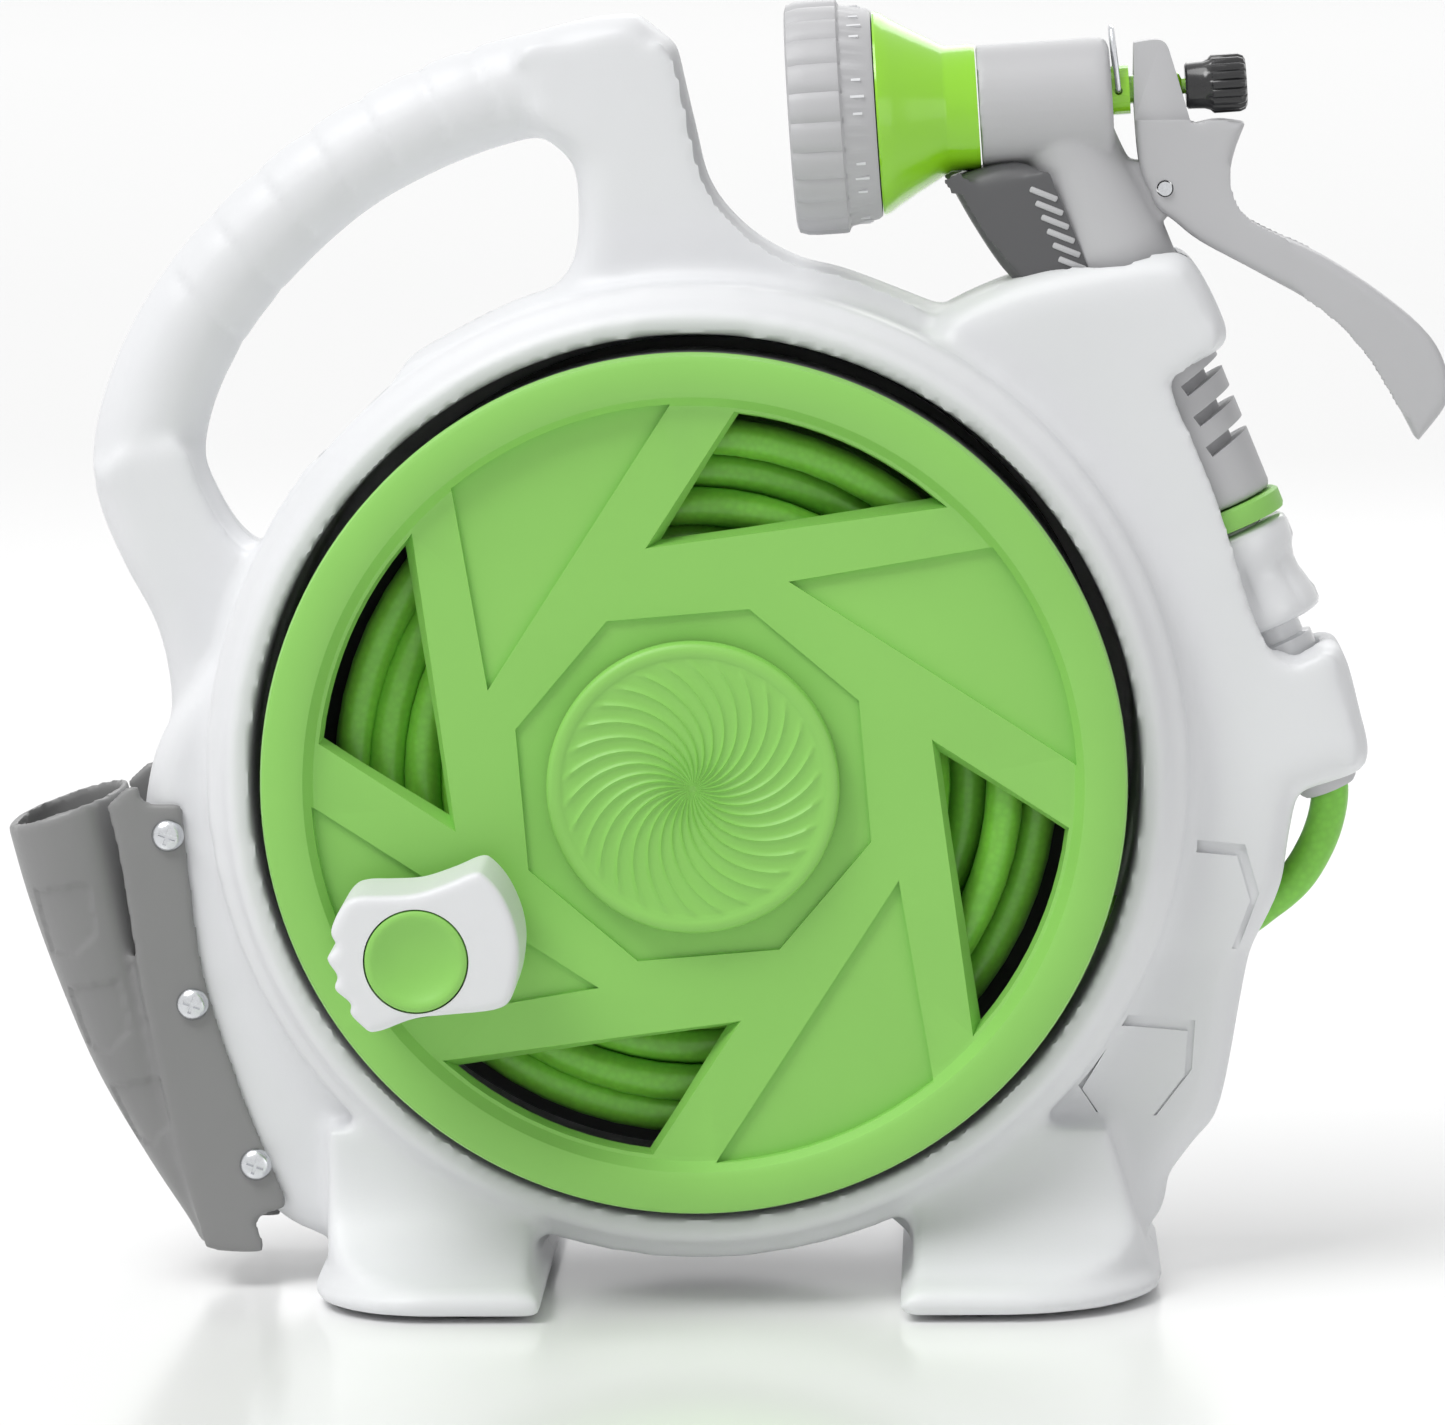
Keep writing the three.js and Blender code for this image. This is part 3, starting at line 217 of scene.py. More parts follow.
def brick(low, high, turn=None, at=None):
    """A box between two corners, turned by a matrix about a point."""
    bm = bmesh.new()
    bmesh.ops.create_cube(bm, size=1)
    low, high = Vector(low), Vector(high)
    bmesh.ops.scale(bm, vec=high - low, verts=bm.verts)
    bmesh.ops.translate(bm, vec=(low + high) / 2, verts=bm.verts)
    if turn is not None:
        bmesh.ops.rotate(bm, cent=at, matrix=turn, verts=bm.verts)
    return bm


def skinned(bm, rings):
    """Skins a stack of closed rings of vertices, and caps both ends."""
    for low, high in zip(rings, rings[1:]):
        pairs = [pair for row in (low, high) for pair in zip(row, row[1:] + row[:1])]
        bmesh.ops.bridge_loops(bm, edges=[bm.edges.get(pair) or bm.edges.new(pair) for pair in pairs])
    for ring in (rings[0], rings[-1]):
        bm.faces.new(ring)
    bmesh.ops.recalc_face_normals(bm, faces=bm.faces)
    return bm


def draft(bm, name="draft"):
    """A working object, still in the drawing's millimetres."""
    mesh = bpy.data.meshes.new(name)
    bm.to_mesh(mesh)
    bm.free()
    obj = bpy.data.objects.new(name, mesh)
    bpy.context.scene.collection.objects.link(obj)
    return obj


def copy_of(obj):
    bm = bmesh.new()
    bm.from_mesh(obj.data)
    return bm


def drop(obj):
    mesh = obj.data
    bpy.data.objects.remove(obj)
    if isinstance(mesh, bpy.types.Mesh):
        bpy.data.meshes.remove(mesh)
    else:
        bpy.data.curves.remove(mesh)


def settle(obj):
    """Makes what the modifiers give the object's own mesh."""
    graph = bpy.context.evaluated_depsgraph_get()
    mesh = bpy.data.meshes.new_from_object(obj.evaluated_get(graph))
    old = obj.data
    obj.modifiers.clear()
    obj.data = mesh
    bpy.data.meshes.remove(old)
    return obj


def combine(obj, others, operation="DIFFERENCE"):
    """Cuts, joins or crosses a working object with others, one after the other."""
    for bm in others:
        other = draft(bm) if isinstance(bm, bmesh.types.BMesh) else bm
        tool = obj.modifiers.new("combine", "BOOLEAN")
        tool.operation = operation
        tool.solver = "MANIFOLD"
        tool.object = other
        settle(obj)
        if not obj.data.polygons:
            raise RuntimeError(f"{operation} left nothing of {obj.name}")
        drop(other)
    return obj


def joined(parts):
    """One working object that holds several closed shapes."""
    bm = bmesh.new()
    for part in parts:
        if isinstance(part, bmesh.types.BMesh):
            part = draft(part)
        bm.from_mesh(part.data)
        drop(part)
    return draft(bm)


def fused(obj, grain, rounds=4, strength=0.5):
    """Melts overlapping shapes into one skin with soft inside and outside corners."""
    melt = obj.modifiers.new("melt", "REMESH")
    melt.mode = "VOXEL"
    melt.voxel_size = grain
    melt.adaptivity = 0
    relax = obj.modifiers.new("relax", "SMOOTH")
    relax.factor = strength
    relax.iterations = rounds
    return settle(obj)


def pipe(points, radius, sides=6):
    """A round tube along points. radius is a number or one number for each point."""
    curve = bpy.data.curves.new("pipe", "CURVE")
    curve.dimensions = "3D"
    curve.bevel_depth = 1.0
    curve.bevel_resolution = sides
    curve.use_fill_caps = True
    spline = curve.splines.new("POLY")
    spline.points.add(len(points) - 1)
    for k, place in enumerate(points):
        spline.points[k].co = (*place, 1)
        spline.points[k].radius = radius[k] if isinstance(radius, (list, tuple)) else radius
    obj = bpy.data.objects.new("pipe", curve)
    bpy.context.scene.collection.objects.link(obj)
    mesh = bpy.data.meshes.new_from_object(obj.evaluated_get(bpy.context.evaluated_depsgraph_get()))
    drop(obj)
    bm = bmesh.new()
    bm.from_mesh(mesh)
    bpy.data.meshes.remove(mesh)
    bmesh.ops.remove_doubles(bm, verts=bm.verts, dist=0.001)
    bmesh.ops.recalc_face_normals(bm, faces=bm.faces)
    return bm


def rounded(obj, width, segments=2, angle=32):
    """Rounds the sharp edges of a working object."""
    edge = obj.modifiers.new("edge", "BEVEL")
    edge.width = width
    edge.segments = segments
    edge.limit_method = "ANGLE"
    edge.angle_limit = math.radians(angle)
    edge.use_clamp_overlap = True
    edge.miter_outer = "MITER_ARC"
    return settle(obj)


def round_axis(place, centre, axis):
    """How far along an axis a place is, the way out to it, and its angle round the axis."""
    along = (place - centre).dot(axis)
    out = place - centre - axis * along
    return along, out, math.atan2(out.y, out.dot(axis.cross(ACROSS)))


def nudged(obj, move):
    """Moves each vertex by what move gives for its place and normal."""
    mesh = obj.data
    normals = [v.normal.copy() for v in mesh.vertices]
    for v, normal in zip(mesh.vertices, normals):
        step = move(v.co, normal)
        if step is not None:
            v.co = v.co + step
    mesh.update()
    return obj


def inside(points, x, z):
    """Whether a point of the front view lies inside an outline."""
    found = False
    for (ax, az), (bx, bz) in zip(points, points[1:] + points[:1]):
        if (az > z) != (bz > z) and x < (bx - ax) * (z - az) / (bz - az) + ax:
            found = not found
    return found


def finished(obj, name, body, slot, *stands_for, crease=38, look=None):
    """Puts a working object in its place as a finished piece that rides on a body."""
    mesh = obj.data
    mesh.transform(Matrix.Translation(ORIGIN) @ Matrix.Scale(MM, 4))
    mesh.name = obj.name = name
    mesh.shade_smooth()
    mesh.set_sharp_from_angle(angle=math.radians(crease))
    mesh.materials.clear()
    mesh.materials.append(FINISH[look or slot])
    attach(obj, body)
    if stands_for:
        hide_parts(*stands_for)
    return obj


def skin(obj, node_name, body, slot, **how):
    """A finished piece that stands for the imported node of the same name."""
    return finished(obj, node_name + "_skin", body, slot, node_name, **how)


# ---- materials ----
def linear(code):
    """An sRGB hex value as linear red, green, blue and one."""
    parts = [int(code[i:i + 2], 16) / 255 for i in (1, 3, 5)]
    return (*[c / 12.92 if c <= 0.04045 else ((c + 0.055) / 1.055) ** 2.4 for c in parts], 1)


def node(tree, kind, settings=None, links=None):
    """Adds one node, with its settings and the sockets that feed it."""
    made = tree.nodes.new(kind)
    for key, value in (settings or {}).items():
        if key in made.inputs:
            made.inputs[key].default_value = value
        else:
            setattr(made, key, value)
    for key, source in (links or {}).items():
        tree.links.new(source, made.inputs[key])
    return made


def blank(name):
    """A new material with an empty node tree."""
    made = bpy.data.materials.new(name)
    made.use_nodes = True
    made.node_tree.nodes.clear()
    return made, made.node_tree


def ramp(tree, source, stops):
    """A colour ramp from a source, with (place, colour) stops."""
    made = node(tree, "ShaderNodeValToRGB", {}, {"Fac": source})
    made.color_ramp.elements[0].position, made.color_ramp.elements[0].color = stops[0]
    made.color_ramp.elements[1].position, made.color_ramp.elements[1].color = stops[-1]
    return made


def scaled(colour, k):
    return (*[min(1, c * k) for c in colour[:3]], 1)


def moulded(name, code, rough, grain_mm, bump_mm, drift, coat=0.0):
    """An injection-moulded plastic: a fine grain, and a slow drift of colour where it cooled."""
    made, tree = blank(name)
    colour = linear(code)
    place = node(tree, "ShaderNodeTexCoord").outputs["Object"]
    # Spacing in the real part is grain_mm, so the scale is its inverse in metres.
    fine = node(tree, "ShaderNodeTexNoise", {"Scale": 1 / (grain_mm * MM), "Detail": 3.0, "Roughness": 0.6},
        {"Vector": place})
    slow = node(tree, "ShaderNodeTexNoise", {"Scale": 1 / (55 * MM), "Detail": 2.0}, {"Vector": place})
    tint = ramp(tree, slow.outputs["Fac"], [(0.3, scaled(colour, 1 - drift)),
        (0.7, scaled(colour, 1 + drift * 0.6))])
    gloss = node(tree, "ShaderNodeMapRange", {"From Min": 0.3, "From Max": 0.7, "To Min": rough - 0.05,
        "To Max": rough + 0.06}, {"Value": fine.outputs["Fac"]})
    bump = node(tree, "ShaderNodeBump", {"Strength": 0.35, "Distance": bump_mm * MM},
        {"Height": fine.outputs["Fac"]})
    shader = node(tree, "ShaderNodeBsdfPrincipled", {"IOR": 1.5, "Coat Weight": coat,
        "Coat Roughness": 0.12}, {"Base Color": tint.outputs["Color"], "Roughness": gloss.outputs["Result"],
        "Normal": bump.outputs["Normal"]})
    node(tree, "ShaderNodeOutputMaterial", {}, {"Surface": shader.outputs["BSDF"]})
    return made


def metal(name, code, rough, scratch_mm):
    """A plated or machined metal: bright, with fine rubbed marks."""
    made, tree = blank(name)
    place = node(tree, "ShaderNodeTexCoord").outputs["Object"]
    marks = node(tree, "ShaderNodeTexNoise", {"Scale": 1 / (scratch_mm * MM), "Detail": 4.0,
        "Distortion": 1.2}, {"Vector": place})
    gloss = node(tree, "ShaderNodeMapRange", {"To Min": rough - 0.06, "To Max": rough + 0.1},
        {"Value": marks.outputs["Fac"]})
    tint = ramp(tree, marks.outputs["Fac"], [(0.2, scaled(linear(code), 0.85)), (0.8, linear(code))])
    shader = node(tree, "ShaderNodeBsdfPrincipled", {"Metallic": 1.0},
        {"Base Color": tint.outputs["Color"], "Roughness": gloss.outputs["Result"]})
    node(tree, "ShaderNodeOutputMaterial", {}, {"Surface": shader.outputs["BSDF"]})
    return made


def pvc_hose(name, code):
    """Braided PVC: a soft satin skin through which the cross-wound yarn shows as faint diagonal dashes."""
    made, tree = blank(name)
    colour = linear(code)
    place = node(tree, "ShaderNodeTexCoord").outputs["Object"]
    # Yarn pitch is 1.4 mm, drawn at 2 mm so that it shows.
    yarn = node(tree, "ShaderNodeTexVoronoi", {"Scale": 1 / (2.0 * MM)}, {"Vector": place})
    cloud = node(tree, "ShaderNodeTexNoise", {"Scale": 1 / (18 * MM), "Detail": 2.0}, {"Vector": place})
    weave = ramp(tree, yarn.outputs["Distance"], [(0.1, scaled(colour, 1.05)), (0.75, scaled(colour, 0.93))])
    tint = ramp(tree, cloud.outputs["Fac"], [(0.35, (0.94, 0.94, 0.94, 1)), (0.65, (1, 1, 1, 1))])
    mix = node(tree, "ShaderNodeMix", {"data_type": "RGBA", "blend_type": "MULTIPLY"})
    mix.inputs[0].default_value = 1.0
    tree.links.new(weave.outputs["Color"], mix.inputs[6])
    tree.links.new(tint.outputs["Color"], mix.inputs[7])
    bump = node(tree, "ShaderNodeBump", {"Strength": 0.2, "Distance": 0.1 * MM},
        {"Height": yarn.outputs["Distance"]})
    shader = node(tree, "ShaderNodeBsdfPrincipled", {"IOR": 1.53, "Roughness": 0.36,
        "Subsurface Weight": 0.1, "Subsurface Scale": 0.002},
        {"Base Color": mix.outputs[2], "Normal": bump.outputs["Normal"]})
    node(tree, "ShaderNodeOutputMaterial", {}, {"Surface": shader.outputs["BSDF"]})
    return made


def make_finishes(colours):
    """Every finish of the reel, by the record's slot."""
    # White ABS with a fine satin grain: soft wide highlights, no mirror glints.
    FINISH["white_abs"] = moulded("white ABS, satin moulded", colours.white, 0.46, 0.9, 0.05, 0.02)
    # Polished white acetal of the snap connector: a tighter highlight.
    FINISH["white_gloss"] = moulded("white acetal, polished", colours.white, 0.2, 2.5, 0.02, 0.02, coat=0.3)
    # Green polypropylene, satin: even colour and a broad sheen.
    FINISH["green_plastic"] = moulded("green polypropylene, satin moulded", colours.green, 0.46, 0.8, 0.04,
        0.03)
    # Glossy green ABS: sharp, bright glints.
    FINISH["green_gloss"] = moulded("green ABS, polished", colours.gloss_green, 0.16, 4.0, 0.02, 0.03,
        coat=0.5)
    # Light grey ABS with a dry, fine grain.
    FINISH["grey_plastic"] = moulded("light grey ABS, fine grain", colours.grey, 0.48, 0.7, 0.06, 0.03)
    # Mid grey polypropylene with a low sheen.
    FINISH["pouch_plastic"] = moulded("mid grey polypropylene, satin", colours.pouch, 0.42, 0.9, 0.05, 0.04)
    # Dark grey polypropylene.
    FINISH["dark_plastic"] = moulded("dark grey polypropylene, satin", colours.dark, 0.45, 0.9, 0.05, 0.05)
    # Black acetal, glossy.
    FINISH["black_plastic"] = moulded("black acetal, glossy", colours.black, 0.22, 3.0, 0.02, 0.1, coat=0.3)
    # Black rubber: matt and faintly mottled.
    FINISH["rubber"] = moulded("black rubber, matt", "#232324", 0.75, 0.6, 0.08, 0.12)
    # Braided PVC hose.
    FINISH["green_hose"] = pvc_hose("green braided PVC", colours.hose)
    # Machined brass: warm and slightly brushed.
    FINISH["brass"] = metal("machined brass", "#c3a052", 0.3, 1.2)
    # Bright nickel-plated steel.
    FINISH["screw_steel"] = metal("nickel-plated steel", "#d5d7da", 0.2, 1.6)


# ---- outlines in the front view ----
CRADLE_TOP = [(69.5, 127.5), (81, 133), (96.5, 138), (130, 143.5), (140, 139), (148.5, 121.5), (146.5, 116)]
WINDOW_SIDE = [(146.5, 116), (136.5, 109.5), (134.5, 105), (146, 77), (159, 37), (167.5, 29.5)]
CRADLE_FOOT = [(167.5, 29.5), (179.5, 33), (186, 12.5), (188, 2.5), (185, -3), (168, -8.5)]
RIGHT_SIDE = [(168, -8.5), (165.5, -21.5), (163, -36), (155, -52.5), (146.5, -96), (139, -107.5),
    (131.5, -117.5)]


def on_gun(along):
    return GUN + DOWN * along


def front(points):
    return [(p[0], p[1]) for p in points]


class REEL_OT_finishes(bpy.types.Operator):
    """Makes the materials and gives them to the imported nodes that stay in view"""

    bl_idname = "reel.finishes"
    bl_label = "Finishes"

    def execute(self, context):
        make_finishes(context.scene.reel_colours)
        for row in frame["record"]["subparts"]:
            materials = frame["nodes"][row["node"]].data.materials
            materials.clear()
            materials.append(FINISH[row["material_slot"]])
        return {"FINISHED"}


class REEL_OT_shells(bpy.types.Operator):
    """Makes the two white shells: handle, drum bay, gun cradle, legs and feet"""

    bl_idname = "reel.shells"
    bl_label = "Shells"

    def execute(self, context):
        sizes = context.scene.reel_sizes
        bay = sizes.bay_radius
        foot_top = FLOOR + 10
        ring = turned([(0, -46), (bay + 5.6, -46), (bay + 7.1, -45.2), (bay + 7.8, -43), (bay + 8.4, -40.4),
            (bay + 10, -38.8), (bay + 13.2, -38), (bay + 13.5, -37), (bay + 13.5, 37), (bay + 13.2, 38),
            (bay + 10, 38.8), (bay + 8.4, 40.4), (bay + 7.8, 43), (bay + 7.1, 45.2), (bay + 5.6, 46),
            (0, 46)], steps=160)
        grip = through([(-26, 192), (-48, 190), (-73, 182), (-98.5, 168.5), (-121, 150), (-139, 129),
            (-151, 106), (-155, 84), (-147.5, 63.5), (-137, 45), (-132, 20)], 8)
        widths = through([(14.6, 0), (14.6, 0), (14.4, 0), (14.2, 0), (14.6, 0), (15, 0), (15.4, 0),
            (16.2, 0), (16.8, 0), (17, 0), (15, 0)], 8)
        handle = pipe([Vector((p.x, 0, p.y)) for p in grip], [w.x for w in widths], 8)
        crown = prism(outline([(-50, 204), (-30, 209), (-16, 210.5)], [(-4.5, 201.5)],
            [(-3, 194), (0.5, 178.5), (4.5, 163), (14.5, 150.5), (28.5, 142), (43, 138), (69.5, 127.5)],
            [(40, 90)], [(-50, 90)], [(-84, 111)], [(-77, 117), (-52.5, 129.5), (-40, 134), (-33.5, 143.5),
            (-32.5, 160.5), (-35, 170.5), (-46, 178.5)]), -16, 16, soft=9)
        root = prism(outline([(-171, 86), (-163, 60.5), (-152.5, 38), (-149.5, 15.5), (-155, -1),
            (-156.5, -21.5)], [(-100, -30)], [(-104, 86)], [(-111.5, 81.5), (-120.5, 62.5), (-130, 66.5),
            (-138.5, 81.5), (-140, 88)]), -17, 17, soft=9)
        low = prism(outline([(150, 18), (168, -8.5)], RIGHT_SIDE, [(130, -127), (124, -134.5)],
            [(58.5, -134.5)], [(47, -124)], [(0, -127), (-31, -124)], [(-43.5, -134.5)], [(-107, -134.5)],
            [(-120, -128), (-134.5, -110), (-151, -66), (-156.5, -21.5), (-155, -1), (-149, 14), (-136, 30)],
            [(-100, 30)], [(150, 18)]), -24, 24, soft=8)
        cradle = prism(outline(CRADLE_TOP, WINDOW_SIDE, CRADLE_FOOT, RIGHT_SIDE[:4], [(118, -56)],
            [(100, 60)], [(61.5, 110)], [(69.5, 127.5)]), -24.8, 24.8, soft=9)
        parts = [ring, handle, crown, root, low, cradle]
        for side in (-1, 1):
            flare = outline([(0, -96), (side * 38, -96)], [(side * 38.6, -108), (side * 41, -119),
                (side * 47, -128), (side * 57, -134), (side * 69, foot_top - 0.5)],
                [(side * 69, foot_top - 3), (0, foot_top - 3)], per=3)
            for leg, x0, x1 in (([(-54, -100), (-110, -100), (-107, foot_top - 4), (-42, foot_top - 4),
                    (-32, -126)], -108.5, -43), ([(62, -100), (114, -100), (127, foot_top - 4),
                    (56, foot_top - 4), (46, -126)], 56, 129.7)):
                shank = draft(prism(front(flare), -FAR, FAR, "x"))
                combine(shank, [prism(leg, -FAR, FAR)], "INTERSECT")
                outer, inner = (x0, x1) if x0 < -50 else (x1, x0)
                out = math.copysign(1, outer - inner)
                corner = 33 if out < 0 else 44
                plans = []
                for t in (0, 3.6):
                    plan = [(inner + out * t, -side * 2), (inner + out * t, side * (75 - t))]
                    for k in range(9):
                        turn = k / 8 * math.pi / 2
                        plan.append((outer - out * t - out * corner * (1 - math.sin(turn)),
                            side * (75 - t) - side * corner * (1 - math.cos(turn))))
                    plan.append((outer - out * t, -side * 2))
                    plans.append(plan)
                combine(shank, [prism(plans[1], FLOOR - 5, 0, "z")], "INTERSECT")
                parts += [shank, prism(plans[0], FLOOR + 1.6, foot_top - 3, "z", soft=1.2, steps=2),
                    prism(plans[1], FLOOR + 4, foot_top, "z")]
        both = joined(parts)
        fused(both, 2.0, rounds=3)
        # Room for the drum, the gun, its connector and nut, and the hose's way out.
        channel = turned([(0, 24), (19.6, 24), (19.6, 164.5), (12.7, 164.5), (12.7, 192.7), (9.5, 192.7),
            (9.5, 222), (0, 222)], GUN, DOWN, 48)
        combine(both, [rod(bay, -FAR, 43.2, steps=192), channel, brick((96, -9, -84), (192, 9, -20)),
            rod(11.35, 0, FAR, steps=48)])
        fused(both, sizes.shell_grain, rounds=4)
        # Shallow creases across the grip, one for each finger rest.
        creases = [((-62.5, 203), (-54, 184)), ((-77, 196.5), (-68.5, 178.5)), ((-94, 188.5), (-83.5, 171)),
            ((-108, 178.5), (-95.5, 162)), ((-122, 167), (-107.5, 150.5)), ((-134, 153.5), (-119, 136.5)),
            ((-144.5, 138), (-130, 121.5))]

        def crease(place, normal):
            if place.z < 95 or place.x > -40:
                return None
            for (ax, az), (bx, bz) in creases:
                run = Vector((bx - ax, bz - az))
                off = Vector((place.x - ax, place.z - az))
                t = off.dot(run) / run.dot(run)
                if -0.25 < t < 1.25:
                    d = (off.x * run.y - off.y * run.x) / run.length
                    if -2.4 < d < 7:
                        # A steep face on one side and a long one on the other.
                        depth = (1 + d / 2.4) if d < 0 else (1 - d / 7)
                        fade = min(1, (t + 0.25) / 0.25, (1.25 - t) / 0.25)
                        return normal * (-0.9 * fade * depth ** 1.5)
            return None

        nudged(both, crease)
        panels = [[(119, -43), (134, -20), (153, -22), (157, -36), (151, -52), (140, -49)],
            [(106, -90), (118, -70), (139, -72), (138, -86), (128, -99), (112, -99)]]
        for panel in panels:
            # A raised panel: a narrow groove drawn round it.
            first = Vector(panel[0])
            smaller = [(Vector(p) - first) * 0.9 + first + Vector((1.2, -1.2)) for p in panel]
            for side in (-1, 1):
                groove = draft(prism(panel, side * 24 - 1.0, side * 24 + 1.0))
                combine(groove, [prism(smaller, -FAR, FAR)])
                combine(both, [groove])
        rear = draft(copy_of(both))
        combine(both, [brick((-FAR, -FAR, -FAR), (FAR, -0.175, FAR))], "INTERSECT")
        combine(rear, [brick((-FAR, 0.175, -FAR), (FAR, FAR, FAR))], "INTERSECT")
        # Sunk screw heads and two shallow rings on the closed rear.
        sinks = [hoop(60, 64, 45.1, 50, steps=128), hoop(98, 102, 45.1, 50, steps=128)]
        for number in range(1, 6):
            low, high = (drawn_at(corner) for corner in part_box(f"shell_screw_{number}"))
            place = Vector(((low.x + high.x) / 2, 0, (low.z + high.z) / 2))
            sinks.append(rod(4.95, high.y - 3, FAR, place, steps=32))
        combine(rear, sinks)
        skin(both, "front_shell", "frame", "white_abs", crease=50)
        skin(rear, "rear_shell", "frame", "white_abs", crease=50)
        return {"FINISHED"}


class REEL_OT_drum(bpy.types.Operator):
    """Makes the drum's green face with its windows and sunk panels, and the dark ring behind it"""

    bl_idname = "reel.drum"
    bl_label = "Drum face"

    def execute(self, context):
        sizes = context.scene.reel_sizes
        face = draft(turned([(33.8, -57), (103.5, -57), (105, -57.6), (107.6, -61.2), (109.4, -62),
            (117.2, -62), (118.8, -61.3), (119.4, -59.8), (119.4, -53.6), (106, -53.6), (105, -52),
            (33.8, -52)], steps=160, ring=True))

        def at(r, angle):
            return Vector((r * math.cos(math.radians(angle)), r * math.sin(math.radians(angle))))

        for start in (50, 140, 230, 320):
            near = [at(103.4, start + 32.5 * k / 10) for k in range(11)] + [at(68.5, start + 46.7)]
            # The walls slope: the window is wider in front than behind.
            centre = sum(near, Vector((0, 0))) / len(near)
            hole = bmesh.new()
            rings = []
            for y, grow in ((-66, 3.4), (-57.0, 2.1), (-50, -0.6)):
                ring = []
                for k, p in enumerate(near):
                    away = (p - centre).normalized() if k == len(near) - 1 else None
                    before, after = near[k - 1], near[(k + 1) % len(near)]
                    side = (p - before).normalized() + (after - p).normalized()
                    out = Vector((side.y, -side.x)).normalized()
                    reach = min(3.0, 1 / max(0.33, abs(out.dot(Vector(((after - p).y,
                        -(after - p).x)).normalized()))))
                    q = p + out * grow * reach
                    if away is not None:
                        q = p + away * grow * 2.4
                    if q.length > 104:
                        q = q * (104 / q.length)
                    ring.append(hole.verts.new((q.x, y, q.y)))
                rings.append(ring)
            skinned(hole, rings)
            panel = [at(105.6, start + 42.8 + 35.6 * k / 10) for k in range(11)] + [at(62.4, start + 104.6)]
            combine(face, [hole, prism(panel, -66, -55.2)])
        octagon = [at(51.4, 27 + 45 * k) for k in range(8)]
        combine(face, [prism(octagon, -66, -55.6)])
        rounded(face, sizes.edge_round, 2, 28)
        skin(face, "drum_face", "drum", "green_plastic", crease=30)
        band = turned([(107, -53.15), (119, -53.15), (119, -27.1), (115.9, -27.1), (115.9, -50.1),
            (107, -50.1)], steps=160, ring=True)
        finished(draft(band), "drum_ring_skin", "drum", "dark_plastic", "drum_rim_ring")
        flange = hoop(15, 117.4, 30.35, 33.35, steps=160)
        finished(draft(flange), "drum_flange_skin", "drum", "dark_plastic", "drum_rear_flange")
        barrel = hoop(47, 50, -53.15, 30, steps=128)
        finished(draft(barrel), "drum_barrel_skin", "drum", "dark_plastic")
        return {"FINISHED"}


class REEL_OT_hub_cap(bpy.types.Operator):
    """Makes the hub cap, with fine ribs that curl out from its middle"""

    bl_idname = "reel.hub_cap"
    bl_label = "Hub cap"

    def execute(self, context):
        ribs = context.scene.reel_sizes.swirl_ribs
        radii = [0, 1.2, 2.5, 4] + [4 + 1.15 * k for k in range(1, 28)]
        profile = [(r, -62.9) for r in radii] + [(36.2, -63.1), (36.9, -63.5), (38.6, -63.5), (39.8, -63.1),
            (40.3, -62), (40.3, -57.3), (33.4, -57.3), (33.4, -48.5), (31.4, -48.5), (31.4, -60.5),
            (0, -60.5)]
        cap = draft(turned(profile, steps=ribs * 8))

        def swirl(place, normal):
            r = math.hypot(place.x, place.z)
            if place.y > -62 or r > 36.4 or r < 0.6:
                return None
            angle = math.atan2(place.z, place.x)
            fade = min(1, r / 7) * min(1, max(0, (36.2 - r) / 2.5))
            wave = 1 - abs(math.sin(angle * ribs / 2))
            turn = angle + 1.05 * (r / 36) ** 1.1 - 0.9
            return Vector((r * math.cos(turn) - place.x, -0.75 * fade * wave ** 2,
                r * math.sin(turn) - place.z))

        nudged(cap, swirl)
        skin(cap, "hub_cap", "drum", "green_plastic", crease=60)
        return {"FINISHED"}


class REEL_OT_hose(bpy.types.Operator):
    """Winds the hose on the drum, and runs its tail out to the connector"""

    bl_idname = "reel.hose"
    bl_label = "Hose"

    def execute(self, context):
        thick = context.scene.reel_sizes.hose_thickness
        half = thick / 2
        points = []
        turns = 6
        pitch = 10.9
        for layer in range(5):
            r = 50.5 + half + layer * 10.05
            count = turns * 60
            for k in range(count + 1):
                angle = (layer * turns + k / 60) * math.tau + 0.6
                share = k / count
                y = -43.6 + pitch * turns * share if layer % 2 == 0 else -43.6 + pitch * turns * (1 - share)
                # Hand-wound turns wander a little.
                wander = 0.9 * math.sin(angle * 0.37 + layer * 2.1) + 0.5 * math.sin(angle * 1.13 + layer)
                y = max(-44.3, min(24.4, y + wander))
                reach = min(95.6, r + 0.35 * math.sin(angle * 0.71 + layer))
                points.append(Vector((reach * math.cos(angle), y, reach * math.sin(angle))))
        finished(draft(pipe(points, half, 4)), "wound_hose", "drum", "green_hose", "hose_coil", crease=80)
        route = [on_gun(NUT_TO - 11.5), on_gun(NUT_TO - 4), on_gun(NUT_TO)]
        route += [Vector((x, 0, z)) for x, z in ((177, -17.5), (174, -26), (168.5, -35), (160.5, -42),
            (149.5, -48.5), (134, -46))]
        lead = 101 + half + 4
        route.append(Vector((lead * math.cos(math.radians(-24)), 0, lead * math.sin(math.radians(-24)))))
        skin(draft(pipe(through(route, 7), half, 8)), "hose_tail", "frame", "green_hose", crease=80)
        return {"FINISHED"}


